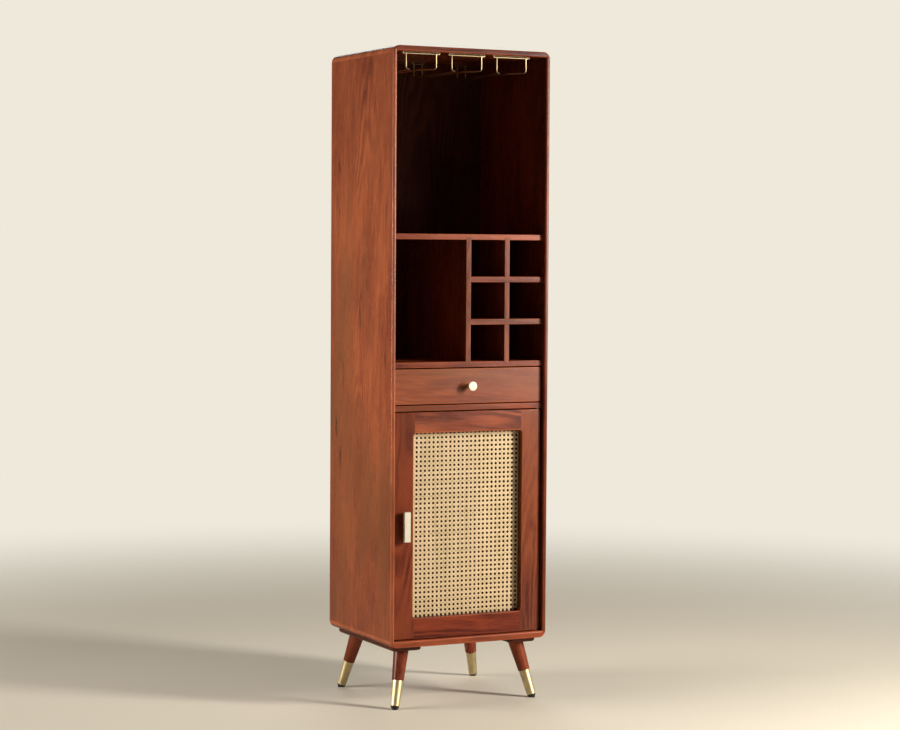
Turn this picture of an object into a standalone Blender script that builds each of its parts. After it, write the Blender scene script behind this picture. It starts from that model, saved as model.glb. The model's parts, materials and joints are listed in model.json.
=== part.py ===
"""Tall bar cabinet: an open display bay with stemware racks, a bottle rack, a drawer
and a cane-fronted door, in a mitred hardwood carcass on four splayed legs.

X runs to the cabinet's right, the front faces -Y, Z is up and the floor is Z = 0.
"""
import math

import bmesh
import bpy
from mathutils import Matrix, Vector

# Carcass
width = 0.475
depth = 0.405
board = 0.015
side_board = 0.0115
base_board = 0.0185
stand_height = 0.1695
corner_radius = 0.020
edge_round = 0.0041
recess = 0.014
back_thickness = 0.008
back_rebate_length = 0.016
back_rebate_depth = 0.0065
housing_depth = 0.005
board_edge_round = 0.0012

# Openings, from the bottom up
door_opening_height = 0.617
drawer_opening_height = 0.101
bottle_cell_width = 0.103
bottle_cell_height = 0.100
bottle_columns = 2
bottle_rows = 3
top_opening_height = 0.484

# Fits
clearance = 0.0003
cut_overrun = 0.002
merge_distance = 0.00001

# Door
door_side_gap = 0.0035
door_top_gap = 0.0035
door_bottom_gap = 0.0020
door_thickness = 0.020
stile_width = 0.0575
rail_width = 0.056
joint_step = 0.003
opening_corner_radius = 0.009
door_edge_round = 0.0025
tenon_length = 0.020
tenon_thickness = 0.007
tenon_shoulder = 0.008
cane_thickness = 0.002
cane_margin = 0.010
cane_columns = 13
cane_rows = 20
cane_hole_share = 0.50
bead_width = 0.012
bead_thickness = 0.006

# Door pivots
pivot_from_edge = 0.0065
pivot_from_face = 0.0070
pivot_radius = 0.0025
pivot_depth = 0.010
pivot_collar_radius = 0.0050

# Door catch
catch_length = 0.040
catch_height = 0.013
catch_depth = 0.016
strike_length = 0.032
strike_height = 0.012
strike_thickness = 0.0015
strike_from_top = 0.0010
catch_from_edge = 0.020

# Door handle
handle_width = 0.018
handle_from_edge = 0.0305
handle_length = 0.081
handle_thickness = 0.012
handle_projection = 0.022
handle_post_radius = 0.0042
handle_post_inset = 0.012
handle_edge_round = 0.0010

# Drawer
drawer_side_gap = 0.0035
drawer_top_gap = 0.0032
drawer_bottom_gap = 0.0028
drawer_front_thickness = 0.016
drawer_edge_round = 0.0020
drawer_box_gap = 0.0040
drawer_box_lift = 0.0035
drawer_box_height = 0.078
drawer_rear_gap = 0.024
drawer_wall = 0.012
drawer_bottom_thickness = 0.005
drawer_bottom_rise = 0.008
drawer_groove = 0.005
runner_height = 0.012
runner_depth_in_side = 0.006
runner_setback = 0.012
runner_end_gap = 0.002

# Drawer knob
knob_radius = 0.0130
knob_neck_radius = 0.0050
knob_neck_length = 0.0120
knob_flare = 0.0050
knob_dome = 0.0080
knob_bore_depth = 0.0110

# Screws that hold the knob and the handle
screw_radius = 0.0019
screw_head_radius = 0.0045
screw_head_height = 0.0024
screw_engagement = 0.0085

# Stemware racks of bent wire
rack_wall_margin = 0.032
rack_least_gap = 0.010
wire_radius = 0.0020
rack_front = 0.040
rack_length = 0.300
rack_drop = 0.0420
rack_gate = 0.090
rack_channel = 0.026
rack_front_bar = 0.114
rack_rear_bar = 0.043
rack_flare_run = 0.045
wire_bend_radius = 0.007
rack_pin_length = 0.0090

# Legs
batten_width = 0.087
batten_thickness = 0.0128
batten_front_inset = 0.0205
batten_back_inset = 0.0130
batten_corner_radius = 0.015
batten_edge_round = 0.0060
leg_side_inset = 0.0622
leg_front_inset = 0.0640
leg_back_inset = 0.0565
leg_splay = 0.036
leg_top_radius = 0.0209
leg_shoulder_radius = 0.0162
ferrule_top = 0.0784
ferrule_bottom = 0.0088
ferrule_top_radius = 0.0146
ferrule_bottom_radius = 0.0120
ferrule_wall = 0.0013
ferrule_lip_round = 0.0006
spigot_end = 0.0240
glide_foot_radius = 0.0078
glide_plug_length = 0.0100
leg_bolt_radius = 0.0040
leg_bolt_in_leg = 0.030

# Smoothness of round work
corner_steps = 5
round_steps = 3
turned_steps = 20
bend_steps = 4

# Colours of the finishes
wood_colour = (0.23, 0.065, 0.030)
dark_wood_colour = (0.060, 0.020, 0.012)
ply_colour = (0.30, 0.15, 0.075)
brass_colour = (0.78, 0.60, 0.30)
steel_colour = (0.56, 0.56, 0.57)
cane_colour = (0.72, 0.55, 0.32)
black_colour = (0.012, 0.011, 0.011)

# Levels and planes that the pieces share
floor_inside = stand_height + base_board
divider_bottom = floor_inside + door_opening_height
divider_top = divider_bottom + board
middle_bottom = divider_top + drawer_opening_height
middle_top = middle_bottom + board
bottle_rack_height = bottle_rows * bottle_cell_height + (bottle_rows - 1) * board
upper_bottom = middle_top + bottle_rack_height
upper_top = upper_bottom + board
ceiling = upper_top + top_opening_height
carcass_height = ceiling + board - stand_height
half_inside = width / 2 - side_board
knob_length = knob_neck_length + knob_flare + knob_dome
knob_proud = clearance + knob_length - recess
front = (knob_proud - depth) / 2
rear = front + depth
board_front = front + recess
back_face = rear - back_rebate_length
batten_bottom = stand_height - batten_thickness

# Scene set-up
for old in list(bpy.data.objects):
    bpy.data.objects.remove(old, do_unlink=True)


def new_collection(name):
    collection = bpy.data.collections.new(name)
    bpy.context.scene.collection.children.link(collection)
    return collection


parts = new_collection("tall_bar_cabinet")
cutters = new_collection("cutters")


def new_material(name, colour, roughness, metallic):
    material = bpy.data.materials.new(name)
    material.use_nodes = True
    shader = material.node_tree.nodes["Principled BSDF"]
    shader.inputs["Base Color"].default_value = (*colour, 1.0)
    shader.inputs["Roughness"].default_value = roughness
    shader.inputs["Metallic"].default_value = metallic
    return material


finishes = {
    "hardwood": (wood_colour, 0.42, 0.0),
    "dark_hardwood": (dark_wood_colour, 0.50, 0.0),
    "plywood": (ply_colour, 0.65, 0.0),
    "brass": (brass_colour, 0.28, 1.0),
    "steel": (steel_colour, 0.35, 1.0),
    "cane": (cane_colour, 0.60, 0.0),
    "black_plastic": (black_colour, 0.55, 0.0),
}


# Building helpers
def add_part(name, mesh, finish, place=(0, 0, 0), parent=None, turn=None):
    """Link a finished mesh as a named part, with its origin at place in the cabinet."""
    part = bpy.data.objects.new(name, mesh)
    parts.objects.link(part)
    part.data.materials.append(new_material(name + "_finish", *finishes[finish]))
    part.location = Vector(place)
    if turn is not None:
        part.rotation_mode = "QUATERNION"
        part.rotation_quaternion = turn
    if parent is not None:
        part.parent = parent
        part.location = Vector(place) - parent.location
    return part


def add_cutter(name, mesh, place=(0, 0, 0), turn=None):
    cutter = bpy.data.objects.new(name, mesh)
    cutters.objects.link(cutter)
    cutter.location = Vector(place)
    if turn is not None:
        cutter.rotation_mode = "QUATERNION"
        cutter.rotation_quaternion = turn
    cutter.hide_render = True
    cutter.display_type = "WIRE"
    return cutter


def combine(target, tool, operation="DIFFERENCE"):
    modifier = target.modifiers.new(tool.name, "BOOLEAN")
    modifier.operation = operation
    modifier.solver = "EXACT"
    modifier.object = tool


def mesh_from(name, bm):
    bmesh.ops.recalc_face_normals(bm, faces=bm.faces)
    mesh = bpy.data.meshes.new(name)
    bm.to_mesh(mesh)
    bm.free()
    return mesh


def round_edges(bm, radius, chosen):
    """Round every edge for which chosen(start, end) is true."""
    edges = [edge for edge in bm.edges if chosen(edge.verts[0].co, edge.verts[1].co)]
    bmesh.ops.bevel(bm, geom=edges, offset=radius, offset_type="OFFSET",
                    segments=round_steps, profile=0.5, affect="EDGES")


def cuboid(name, size, rounded=None, radius=board_edge_round):
    """A box about its own centre; rounded(start, end) picks the edges to round."""
    bm = bmesh.new()
    bmesh.ops.create_cube(bm, size=1.0)
    bmesh.ops.scale(bm, vec=size, verts=bm.verts)
    if rounded is not None:
        round_edges(bm, radius, rounded)
    return mesh_from(name, bm)


def between(low, high):
    """Centre and size of the box from its low corner to its high corner."""
    low, high = Vector(low), Vector(high)
    return (low + high) / 2, high - low


def front_edges_along(axis):
    """Picks the front edges of a centred box that run along X (0) or Z (2)."""
    def chosen(start, end):
        along = abs((end - start).normalized()[axis]) > 0.99
        return along and start.y < 0 and end.y < 0
    return chosen


def all_front_edges(start, end):
    return start.y < 0 and end.y < 0


def add_board(name, low, high, finish="hardwood", rounded=None, parent=None,
              radius=board_edge_round):
    """A straight board between two corners, with some of its edges eased."""
    centre, size = between(low, high)
    return add_part(name, cuboid(name, size, rounded, radius), finish, centre, parent)


def cut_box(target, name, low, high):
    centre, size = between(low, high)
    combine(target, add_cutter(name, cuboid(name, size), centre))


def house(target, low, high):
    """Cut the housing that receives a board lying between two corners."""
    play = Vector((clearance, clearance, clearance))
    name = target.name + "_housing"
    cut_box(target, name, Vector(low) - play, Vector(high) + play)


def arc(centre, radius, start, end, steps):
    """Points of an arc between two angles in degrees, both ends included."""
    points = []
    for step in range(steps + 1):
        angle = math.radians(start + (end - start) * step / steps)
        points.append((centre[0] + radius * math.cos(angle),
                       centre[1] + radius * math.sin(angle)))
    return points


def mesh_of(thing):
    """The evaluated mesh of a curve object, welded, in place of the curve."""
    bpy.context.view_layer.update()
    depsgraph = bpy.context.evaluated_depsgraph_get()
    mesh = bpy.data.meshes.new_from_object(thing.evaluated_get(depsgraph))
    bm = bmesh.new()
    bm.from_mesh(mesh)
    bmesh.ops.remove_doubles(bm, verts=bm.verts, dist=merge_distance)
    bm.to_mesh(mesh)
    bm.free()
    bpy.data.objects.remove(thing, do_unlink=True)
    return mesh


def outline_mesh(name, outlines, thickness):
    """Flat outlines in XY, the first one outside and the rest holes, given a thickness."""
    curve = bpy.data.curves.new(name, "CURVE")
    curve.dimensions = "2D"
    curve.fill_mode = "BOTH"
    curve.extrude = thickness / 2
    for outline in outlines:
        spline = curve.splines.new("POLY")
        spline.points.add(len(outline) - 1)
        for point, (x, y) in zip(spline.points, outline):
            point.co = (x, y, 0, 1)
        spline.use_cyclic_u = True
    thing = bpy.data.objects.new(name, curve)
    cutters.objects.link(thing)
    return mesh_of(thing)


def flat_faces_joined(mesh):
    """A bmesh of the mesh whose coplanar triangles are joined into whole faces."""
    bm = bmesh.new()
    bm.from_mesh(mesh)
    bmesh.ops.dissolve_limit(bm, angle_limit=math.radians(0.5), verts=bm.verts, edges=bm.edges)
    return bm


def turned(name, profile, closed=False):
    """A turned solid: the profile, (radius, height) from top to bottom, swept round Z."""
    mesh = bpy.data.meshes.new(name)
    edges = [(index, index + 1) for index in range(len(profile) - 1)]
    if closed:
        edges.append((len(profile) - 1, 0))
    mesh.from_pydata([(radius, 0, height) for radius, height in profile], edges, [])
    thing = bpy.data.objects.new(name, mesh)
    cutters.objects.link(thing)
    screw = thing.modifiers.new("turning", "SCREW")
    screw.axis = "Z"
    screw.steps = turned_steps
    screw.render_steps = turned_steps
    screw.use_merge_vertices = True
    screw.merge_threshold = merge_distance
    solid = mesh_of(thing)
    solid.shade_smooth()
    solid.set_sharp_from_angle(angle=math.radians(35))
    return solid


def rod(name, radius, start, end):
    """A plain turned rod along Z between two heights."""
    return turned(name, [(0, end), (radius, end), (radius, start), (0, start)])


def wire(name, points, radius):
    """A round wire along a row of points."""
    curve = bpy.data.curves.new(name, "CURVE")
    curve.dimensions = "3D"
    curve.bevel_depth = radius
    curve.bevel_resolution = 2
    curve.use_fill_caps = True
    spline = curve.splines.new("POLY")
    spline.points.add(len(points) - 1)
    for point, place in zip(spline.points, points):
        point.co = (*place, 1)
    thing = bpy.data.objects.new(name, curve)
    cutters.objects.link(thing)
    return mesh_of(thing)


def bent(corners, radius):
    """A path through the corners with each inner corner bent to a radius."""
    path = [Vector(corners[0])]
    for before, corner, after in zip(corners, corners[1:], corners[2:]):
        corner = Vector(corner)
        back = (Vector(before) - corner).normalized()
        ahead = (Vector(after) - corner).normalized()
        half = back.angle(ahead) / 2
        reach = radius / math.tan(half)
        centre = corner + (back + ahead).normalized() * radius / math.sin(half)
        first = corner + back * reach - centre
        last = corner + ahead * reach - centre
        sweep = first.angle(last)
        for step in range(bend_steps + 1):
            share = step / bend_steps
            spoke = first * math.sin((1 - share) * sweep) + last * math.sin(share * sweep)
            path.append(centre + spoke / math.sin(sweep))
    path.append(Vector(corners[-1]))
    return path


def facing(direction):
    """The turn that points a turned piece's Z axis along a direction."""
    return Vector(direction).to_track_quat("Z", "X")


# Carcass of four mitred panels
def mitred_end(own, other):
    """The rounded corner of an end at X = 0 and the X of its inner corner, where the
    panel's own thickness meets another panel's in a mitre."""
    offset = clearance / math.sqrt(2) + other - own
    reach = (offset + math.sqrt(2 * corner_radius ** 2 - offset ** 2)) / 2
    start = math.degrees(math.atan2(-reach, offset - reach))
    return arc((corner_radius, corner_radius), corner_radius, start, -90, corner_steps), own + offset


def mitred_panel(name, length, own, first, last):
    """A panel along X with its outer face at Z = 0, its inner face at Z = own and half of
    a rounded corner at each end, mitred to panels of two thicknesses; its front edges are
    rounded."""
    left, left_inside = mitred_end(own, first)
    right, right_inside = mitred_end(own, last)
    right = [(length - x, z) for x, z in reversed(right)]
    mesh = outline_mesh(name, [left + right + [(length - right_inside, own), (left_inside, own)]], depth)
    bm = flat_faces_joined(mesh)
    bmesh.ops.rotate(bm, cent=(0, 0, 0), matrix=Matrix.Rotation(math.pi / 2, 3, "X"), verts=bm.verts)

    def on_mitre(start, end):
        flat = abs(end.z - start.z) < merge_distance
        slope = abs(abs(end.x - start.x) - abs(end.z - start.z)) < merge_distance
        return slope and not flat and max(start.z, end.z) > own - merge_distance

    def chosen(start, end):
        return start.y < 0 and end.y < 0 and not on_mitre(start, end)

    round_edges(bm, edge_round, chosen)
    bm.to_mesh(mesh)
    bm.free()
    return mesh


def add_panel(name, length, thicknesses, matrix):
    mesh = mitred_panel(name, length, *thicknesses)
    bm = bmesh.new()
    bm.from_mesh(mesh)
    bm.transform(matrix)
    bmesh.ops.recalc_face_normals(bm, faces=bm.faces)
    bm.to_mesh(mesh)
    bm.free()
    return add_part(name, mesh, "hardwood", (0, (front + rear) / 2, stand_height))


def axes(along, out, origin):
    """The matrix that lays a panel with its length along one axis and its inside along another."""
    columns = Matrix((along, (0, 1, 0), out)).transposed().to_4x4()
    return Matrix.Translation(origin) @ columns


bottom_panel = add_panel("bottom_panel", width, (base_board, side_board, side_board),
                         axes((1, 0, 0), (0, 0, 1), (-width / 2, 0, 0)))
top_panel = add_panel("top_panel", width, (board, side_board, side_board),
                      axes((1, 0, 0), (0, 0, -1), (-width / 2, 0, carcass_height)))
left_panel = add_panel("left_side_panel", carcass_height, (side_board, base_board, board),
                       axes((0, 0, 1), (1, 0, 0), (-width / 2, 0, 0)))
right_panel = add_panel("right_side_panel", carcass_height, (side_board, base_board, board),
                        axes((0, 0, 1), (-1, 0, 0), (width / 2, 0, 0)))

rebate_half = half_inside + back_rebate_depth
for panel in (bottom_panel, top_panel, left_panel, right_panel):
    cut_box(panel, panel.name + "_rebate",
            (-rebate_half, back_face, floor_inside - back_rebate_depth),
            (rebate_half, rear + cut_overrun, ceiling + back_rebate_depth))

back_low = (-rebate_half + clearance, back_face + clearance, floor_inside - back_rebate_depth + clearance)
back_high = (rebate_half - clearance, back_face + clearance + back_thickness,
             ceiling + back_rebate_depth - clearance)
back_panel = add_board("back_panel", back_low, back_high, "plywood")


# Fixed boards, housed in the side panels
def shelf_box(bottom):
    reach = half_inside + housing_depth
    return (-reach, board_front, bottom), (reach, back_face, bottom + board)


shelves = {}
for shelf_name, shelf_bottom in (("drawer_divider", divider_bottom),
                                 ("middle_shelf", middle_bottom),
                                 ("upper_shelf", upper_bottom)):
    box = shelf_box(shelf_bottom)
    shelves[shelf_name] = add_board(shelf_name, *box, rounded=front_edges_along(0))
    house(left_panel, *box)
    house(right_panel, *box)


# Bottle rack: upright partitions with boards halved through the inner one
def partition_box(number):
    """The upright on the left of bottle column number, counted from the right wall."""
    left = half_inside - number * (bottle_cell_width + board)
    return ((left, board_front, middle_top - housing_depth),
            (left + board, back_face, upper_bottom + housing_depth))


def rack_board_box(number):
    left = partition_box(bottle_columns)[1][0] - housing_depth
    bottom = middle_top + number * bottle_cell_height + (number - 1) * board
    return (left, board_front, bottom), (half_inside + housing_depth, back_face, bottom + board)


partition_names = {bottle_columns: "bottle_rack_side"}
rack_uprights = {}
for number in range(1, bottle_columns + 1):
    name = partition_names.get(number, f"bottle_rack_upright_{number}")
    box = partition_box(number)
    rack_uprights[number] = add_board(name, *box, rounded=front_edges_along(2))
    house(shelves["middle_shelf"], *box)
    house(shelves["upper_shelf"], *box)

half_way = (board_front + back_face) / 2
for row in range(1, bottle_rows):
    low, high = rack_board_box(row)
    rack_board = add_board(f"bottle_rack_board_{row}", low, high, rounded=front_edges_along(0))
    house(right_panel, low, high)
    house(rack_uprights[bottle_columns], low, high)
    for number in range(1, bottle_columns):
        upright_low, upright_high = partition_box(number)
        cut_box(rack_board, f"{rack_board.name}_halving_{number}",
                (upright_low[0] - clearance, half_way, low[2] - cut_overrun),
                (upright_high[0] + clearance, back_face + cut_overrun, high[2] + cut_overrun))
        cut_box(rack_uprights[number], f"{rack_uprights[number].name}_halving_{row}",
                (upright_low[0] - cut_overrun, board_front - cut_overrun, low[2] - clearance),
                (upright_high[0] + cut_overrun, half_way + clearance, high[2] + clearance))


# Stemware racks
def add_stemware_rack(name, centre):
    """Two rails that flare out at the front, hung from a front bar and a rear bar
    whose ends turn up as pins into the top panel."""
    rack_front_y = front + rack_front
    rack_back_y = rack_front_y + rack_length
    top = ceiling - clearance - wire_radius
    level = ceiling - rack_drop
    wires = []
    for side in (-1, 1):
        gate = centre + side * rack_gate / 2
        channel = centre + side * rack_channel / 2
        corners = [(gate, rack_front_y, top),
                   (gate, rack_front_y, level),
                   (channel, rack_front_y + rack_flare_run, level),
                   (channel, rack_back_y, level),
                   (channel, rack_back_y, top)]
        wires.append(wire(f"{name}_rail", bent(corners, wire_bend_radius), wire_radius))
    for span, y in ((rack_front_bar, rack_front_y), (rack_rear_bar, rack_back_y)):
        ends = [(centre - span / 2, y, top), (centre + span / 2, y, top)]
        wires.append(wire(f"{name}_bar", ends, wire_radius))
    rack = add_part(name, wires[0], "brass")
    for number, piece in enumerate(wires[1:]):
        combine(rack, add_cutter(f"{name}_wire_{number}", piece), "UNION")
    for span, y in ((rack_front_bar, rack_front_y), (rack_rear_bar, rack_back_y)):
        for side in (-1, 1):
            place = (centre + side * (span / 2 - wire_radius), y, top)
            pin_top = rack_pin_length + wire_radius + clearance
            pin = add_cutter(f"{name}_pin", rod(f"{name}_pin", wire_radius, 0, pin_top), place)
            combine(rack, pin, "UNION")
            hole = rod(f"{name}_pin_hole", wire_radius + clearance, wire_radius, pin_top + clearance)
            combine(top_panel, add_cutter(f"{name}_pin_hole", hole, place))
    return rack


rack_room = 2 * (half_inside - rack_wall_margin) - rack_front_bar
rack_gaps = int(rack_room / (rack_front_bar + rack_least_gap))
rack_pitch = rack_room / max(rack_gaps, 1)
for number in range(rack_gaps + 1):
    add_stemware_rack(f"stemware_rack_{number + 1}", (number - rack_gaps / 2) * rack_pitch)

# Drawer, on an empty that slides it
drawer_slide = bpy.data.objects.new("drawer_slide_axis", None)
parts.objects.link(drawer_slide)
drawer_slide.location = (0, board_front, (divider_top + middle_bottom) / 2)

front_low = Vector((-half_inside + drawer_side_gap, board_front, divider_top + drawer_bottom_gap))
front_high = Vector((half_inside - drawer_side_gap, board_front + drawer_front_thickness,
                     middle_bottom - drawer_top_gap))
drawer_front = add_board("drawer_front", front_low, front_high, rounded=all_front_edges,
                         parent=drawer_slide, radius=drawer_edge_round)

box_half = half_inside - drawer_box_gap
box_front = front_high.y + clearance
box_back = back_face - drawer_rear_gap
box_bottom = front_low.z + drawer_box_lift
box_top = box_bottom + drawer_box_height
bottom_low = Vector((-box_half + drawer_wall - drawer_groove, front_high.y - drawer_groove,
                     box_bottom + drawer_bottom_rise))
bottom_high = Vector((box_half - drawer_wall + drawer_groove, box_back - clearance,
                      bottom_low.z + drawer_bottom_thickness))
runner_middle = (bottom_high.z + box_top) / 2
runner_low_z = runner_middle - runner_height / 2
runner_high_z = runner_middle + runner_height / 2

for side, side_name in ((-1, "left"), (1, "right")):
    outer = side * box_half
    inner = side * (box_half - drawer_wall)
    side_board = add_board(f"drawer_side_{side_name}",
                           (min(outer, inner), box_front, box_bottom),
                           (max(outer, inner), box_back, box_top), parent=drawer_slide)
    house(side_board, bottom_low, (bottom_high.x, box_back + cut_overrun, bottom_high.z))
    groove_floor = side * (box_half - runner_depth_in_side)
    groove_mouth = side * (box_half + cut_overrun)
    cut_box(side_board, f"{side_board.name}_runner_groove",
            (min(groove_floor, groove_mouth), box_front + runner_setback - runner_end_gap,
             runner_low_z - clearance),
            (max(groove_floor, groove_mouth), box_back + cut_overrun, runner_high_z + clearance))
    runner_inner = side * (box_half - runner_depth_in_side + clearance)
    runner_outer = side * (half_inside - clearance)
    add_board(f"drawer_runner_{side_name}",
              (min(runner_inner, runner_outer), box_front + runner_setback, runner_low_z),
              (max(runner_inner, runner_outer), back_face - clearance, runner_high_z))

house(drawer_front, bottom_low, bottom_high)
drawer_bottom = add_board("drawer_bottom", bottom_low, bottom_high, "plywood", parent=drawer_slide)
back_half = box_half - drawer_wall - clearance
add_board("drawer_back", (-back_half, box_back - drawer_wall, bottom_high.z + clearance),
          (back_half, box_back, box_top), parent=drawer_slide)


# Screws, knob and handle
def screw_profile(grip):
    """Head above zero, shank below it through the grip and into the thread."""
    end = -(grip + screw_engagement)
    return [(0, screw_head_height), (screw_head_radius * 0.8, screw_head_height),
            (screw_head_radius, screw_head_height / 2), (screw_head_radius, 0),
            (screw_radius, 0), (screw_radius, end), (0, end)]


def add_screw(name, place, grip, parent):
    """A screw whose head bears on a back face and whose shank points to the front."""
    seat = Vector(place) + Vector((0, clearance, 0))
    return add_part(name, turned(name, screw_profile(grip)), "steel", seat, parent, facing((0, 1, 0)))


def bore(target, name, place, length, radius=screw_radius):
    """A round hole along Y from place towards the front."""
    tool = rod(name, radius + clearance, -length, cut_overrun)
    combine(target, add_cutter(name, tool, place, facing((0, 1, 0))))


knob_centre = Vector((0, board_front, (front_low.z + front_high.z) / 2))
knob_rim = knob_neck_length + knob_flare
knob_profile = [(0, knob_rim + knob_dome)]
for x, z in arc((0, 0), 1, 75, 0, corner_steps):
    knob_profile.append((knob_radius * x, knob_rim + knob_dome * z))
for x, z in arc((0, 0), 1, 0, -60, round_steps)[1:]:
    knob_profile.append((knob_neck_radius + (knob_radius - knob_neck_radius) * x, knob_rim + knob_flare * z))
knob_profile += [(knob_neck_radius, knob_neck_length / 2), (knob_neck_radius, 0),
                 (screw_radius + clearance, 0), (screw_radius + clearance, knob_bore_depth),
                 (0, knob_bore_depth)]
add_part("drawer_knob", turned("drawer_knob", knob_profile), "brass",
         knob_centre - Vector((0, clearance, 0)), drawer_slide, facing((0, -1, 0)))
knob_seat = Vector((0, front_high.y, knob_centre.z))
bore(drawer_front, "drawer_front_screw_hole", knob_seat, drawer_front_thickness + cut_overrun)
add_screw("knob_screw", knob_seat, drawer_front_thickness, drawer_slide)

# Door, on an empty at its pivot axis
door_left = -half_inside + door_side_gap
door_right = half_inside - door_side_gap
door_low = floor_inside + door_bottom_gap
door_high = divider_bottom - door_top_gap
door_face = board_front
door_back = door_face + door_thickness
pivot_x = door_right - pivot_from_edge
pivot_y = door_face + pivot_from_face

door_hinge = bpy.data.objects.new("door_hinge_axis", None)
parts.objects.link(door_hinge)
door_hinge.location = (pivot_x, pivot_y, (door_low + door_high) / 2)

opening_left = door_left + stile_width
opening_right = door_right - stile_width
opening_low = door_low + rail_width
opening_high = door_high - rail_width
door_middle = (door_left + door_right) / 2


def lay_upright(mesh):
    """Turn a flat outline in XY into one standing in XZ, its thickness along Y."""
    bm = flat_faces_joined(mesh)
    bmesh.ops.rotate(bm, cent=(0, 0, 0), matrix=Matrix.Rotation(math.pi / 2, 3, "X"), verts=bm.verts)
    return bm


def corner_sweep():
    """Angle at which the joint line crosses the rounded corner of the opening."""
    return math.degrees(math.acos((opening_corner_radius - joint_step) / opening_corner_radius))


def stile_outline():
    """Left stile seen from the front, from its outer edge, centred in height."""
    half_door = (door_high - door_low) / 2
    half_opening = (opening_high - opening_low) / 2
    turn = 180 - corner_sweep()
    centre = (stile_width + opening_corner_radius, half_opening - opening_corner_radius)
    upper = arc(centre, opening_corner_radius, turn, 180, round_steps)
    lower = [(x, -z) for x, z in upper]
    joint = stile_width + joint_step
    return [(0, half_door), (0, -half_door), (joint, -half_door)] + lower + upper[::-1] + [(joint, half_door)]


def rail_outline():
    """A rail between the stiles, its opening edge below and rounded at both ends."""
    half = (opening_right - opening_left) / 2
    end = half - joint_step - clearance
    turn = 180 - corner_sweep()
    centre = (-half + opening_corner_radius, -opening_corner_radius)
    left = arc(centre, opening_corner_radius, turn, 90, round_steps)
    left = [(max(x, -end), z) for x, z in left]
    right = [(-x, z) for x, z in reversed(left)]
    return left + right + [(end, rail_width), (-end, rail_width)]


def ease_front(bm, joint):
    """Round the front edges, apart from those on the joint with the next piece."""
    def chosen(start, end):
        on_joint = abs(abs(start.x) - joint) < merge_distance and abs(abs(end.x) - joint) < merge_distance
        return start.y < 0 and end.y < 0 and not on_joint

    bmesh.ops.recalc_face_normals(bm, faces=bm.faces)
    round_edges(bm, door_edge_round, chosen)


def add_stile(name, mirrored):
    bm = lay_upright(outline_mesh(name, [stile_outline()], door_thickness))
    sign = -1 if mirrored else 1
    bm.transform(Matrix.Diagonal((sign, 1, 1, 1)))
    outer = door_right if mirrored else door_left

    ease_front(bm, stile_width + joint_step)
    place = (outer, (door_face + door_back) / 2, (door_low + door_high) / 2)
    return add_part(name, mesh_from(name, bm), "hardwood", place, door_hinge)


def add_rail(name, edge, turned_over):
    """edge is the height of the opening's edge; the rail stands above it or hangs below it."""
    bm = lay_upright(outline_mesh(name, [rail_outline()], door_thickness))
    ease_front(bm, (opening_right - opening_left) / 2 - joint_step - clearance)
    if turned_over:
        bmesh.ops.rotate(bm, cent=(0, 0, 0), matrix=Matrix.Rotation(math.pi, 3, "Y"), verts=bm.verts)
    place = (door_middle, (door_face + door_back) / 2, edge)
    rail = add_part(name, mesh_from(name, bm), "hardwood", place, door_hinge)
    sign = -1 if turned_over else 1
    tenon_z = sorted((edge + sign * tenon_shoulder, edge + sign * (rail_width - tenon_shoulder)))
    reach = (opening_right - opening_left) / 2 - joint_step + tenon_length
    middle_y = (door_face + door_back) / 2
    low = Vector((door_middle - reach, middle_y - tenon_thickness / 2, tenon_z[0]))
    high = Vector((door_middle + reach, middle_y + tenon_thickness / 2, tenon_z[1]))
    centre, size = between(low, high)
    combine(rail, add_cutter(f"{name}_tenons", cuboid(name, size), centre), "UNION")
    return rail, low, high


handle_stile = add_stile("door_stile_handle_side", False)
pivot_stile = add_stile("door_stile_pivot_side", True)
for rail_name, rail_edge, turned_over in (("door_rail_top", opening_high, False),
                                          ("door_rail_bottom", opening_low, True)):
    rail, tenon_low, tenon_high = add_rail(rail_name, rail_edge, turned_over)
    house(handle_stile, tenon_low, tenon_high)
    house(pivot_stile, tenon_low, tenon_high)


# Cane panel and the bead that holds it behind the door frame
def rectangle(half_x, half_z, centre=(0, 0)):
    x, z = centre
    return [(x - half_x, z - half_z), (x + half_x, z - half_z),
            (x + half_x, z + half_z), (x - half_x, z + half_z)]


cane_half_x = (opening_right - opening_left) / 2
cane_half_z = (opening_high - opening_low) / 2
pitch_x = 2 * cane_half_x / cane_columns
pitch_z = 2 * cane_half_z / cane_rows
cane_outlines = [rectangle(cane_half_x + cane_margin, cane_half_z + cane_margin)]
for column in range(cane_columns):
    for row in range(cane_rows):
        middle = ((column + 0.5) * pitch_x - cane_half_x, (row + 0.5) * pitch_z - cane_half_z)
        cane_outlines.append(rectangle(cane_hole_share * pitch_x / 2, cane_hole_share * pitch_z / 2, middle))
cane_bm = bmesh.new()
cane_bm.from_mesh(outline_mesh("cane_panel", cane_outlines, cane_thickness))
bmesh.ops.rotate(cane_bm, cent=(0, 0, 0), matrix=Matrix.Rotation(math.pi / 2, 3, "X"), verts=cane_bm.verts)
opening_middle_z = (opening_low + opening_high) / 2
cane_y = door_back + clearance + cane_thickness / 2
add_part("cane_panel", mesh_from("cane_panel", cane_bm), "cane",
         (door_middle, cane_y, opening_middle_z), door_hinge)

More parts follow.
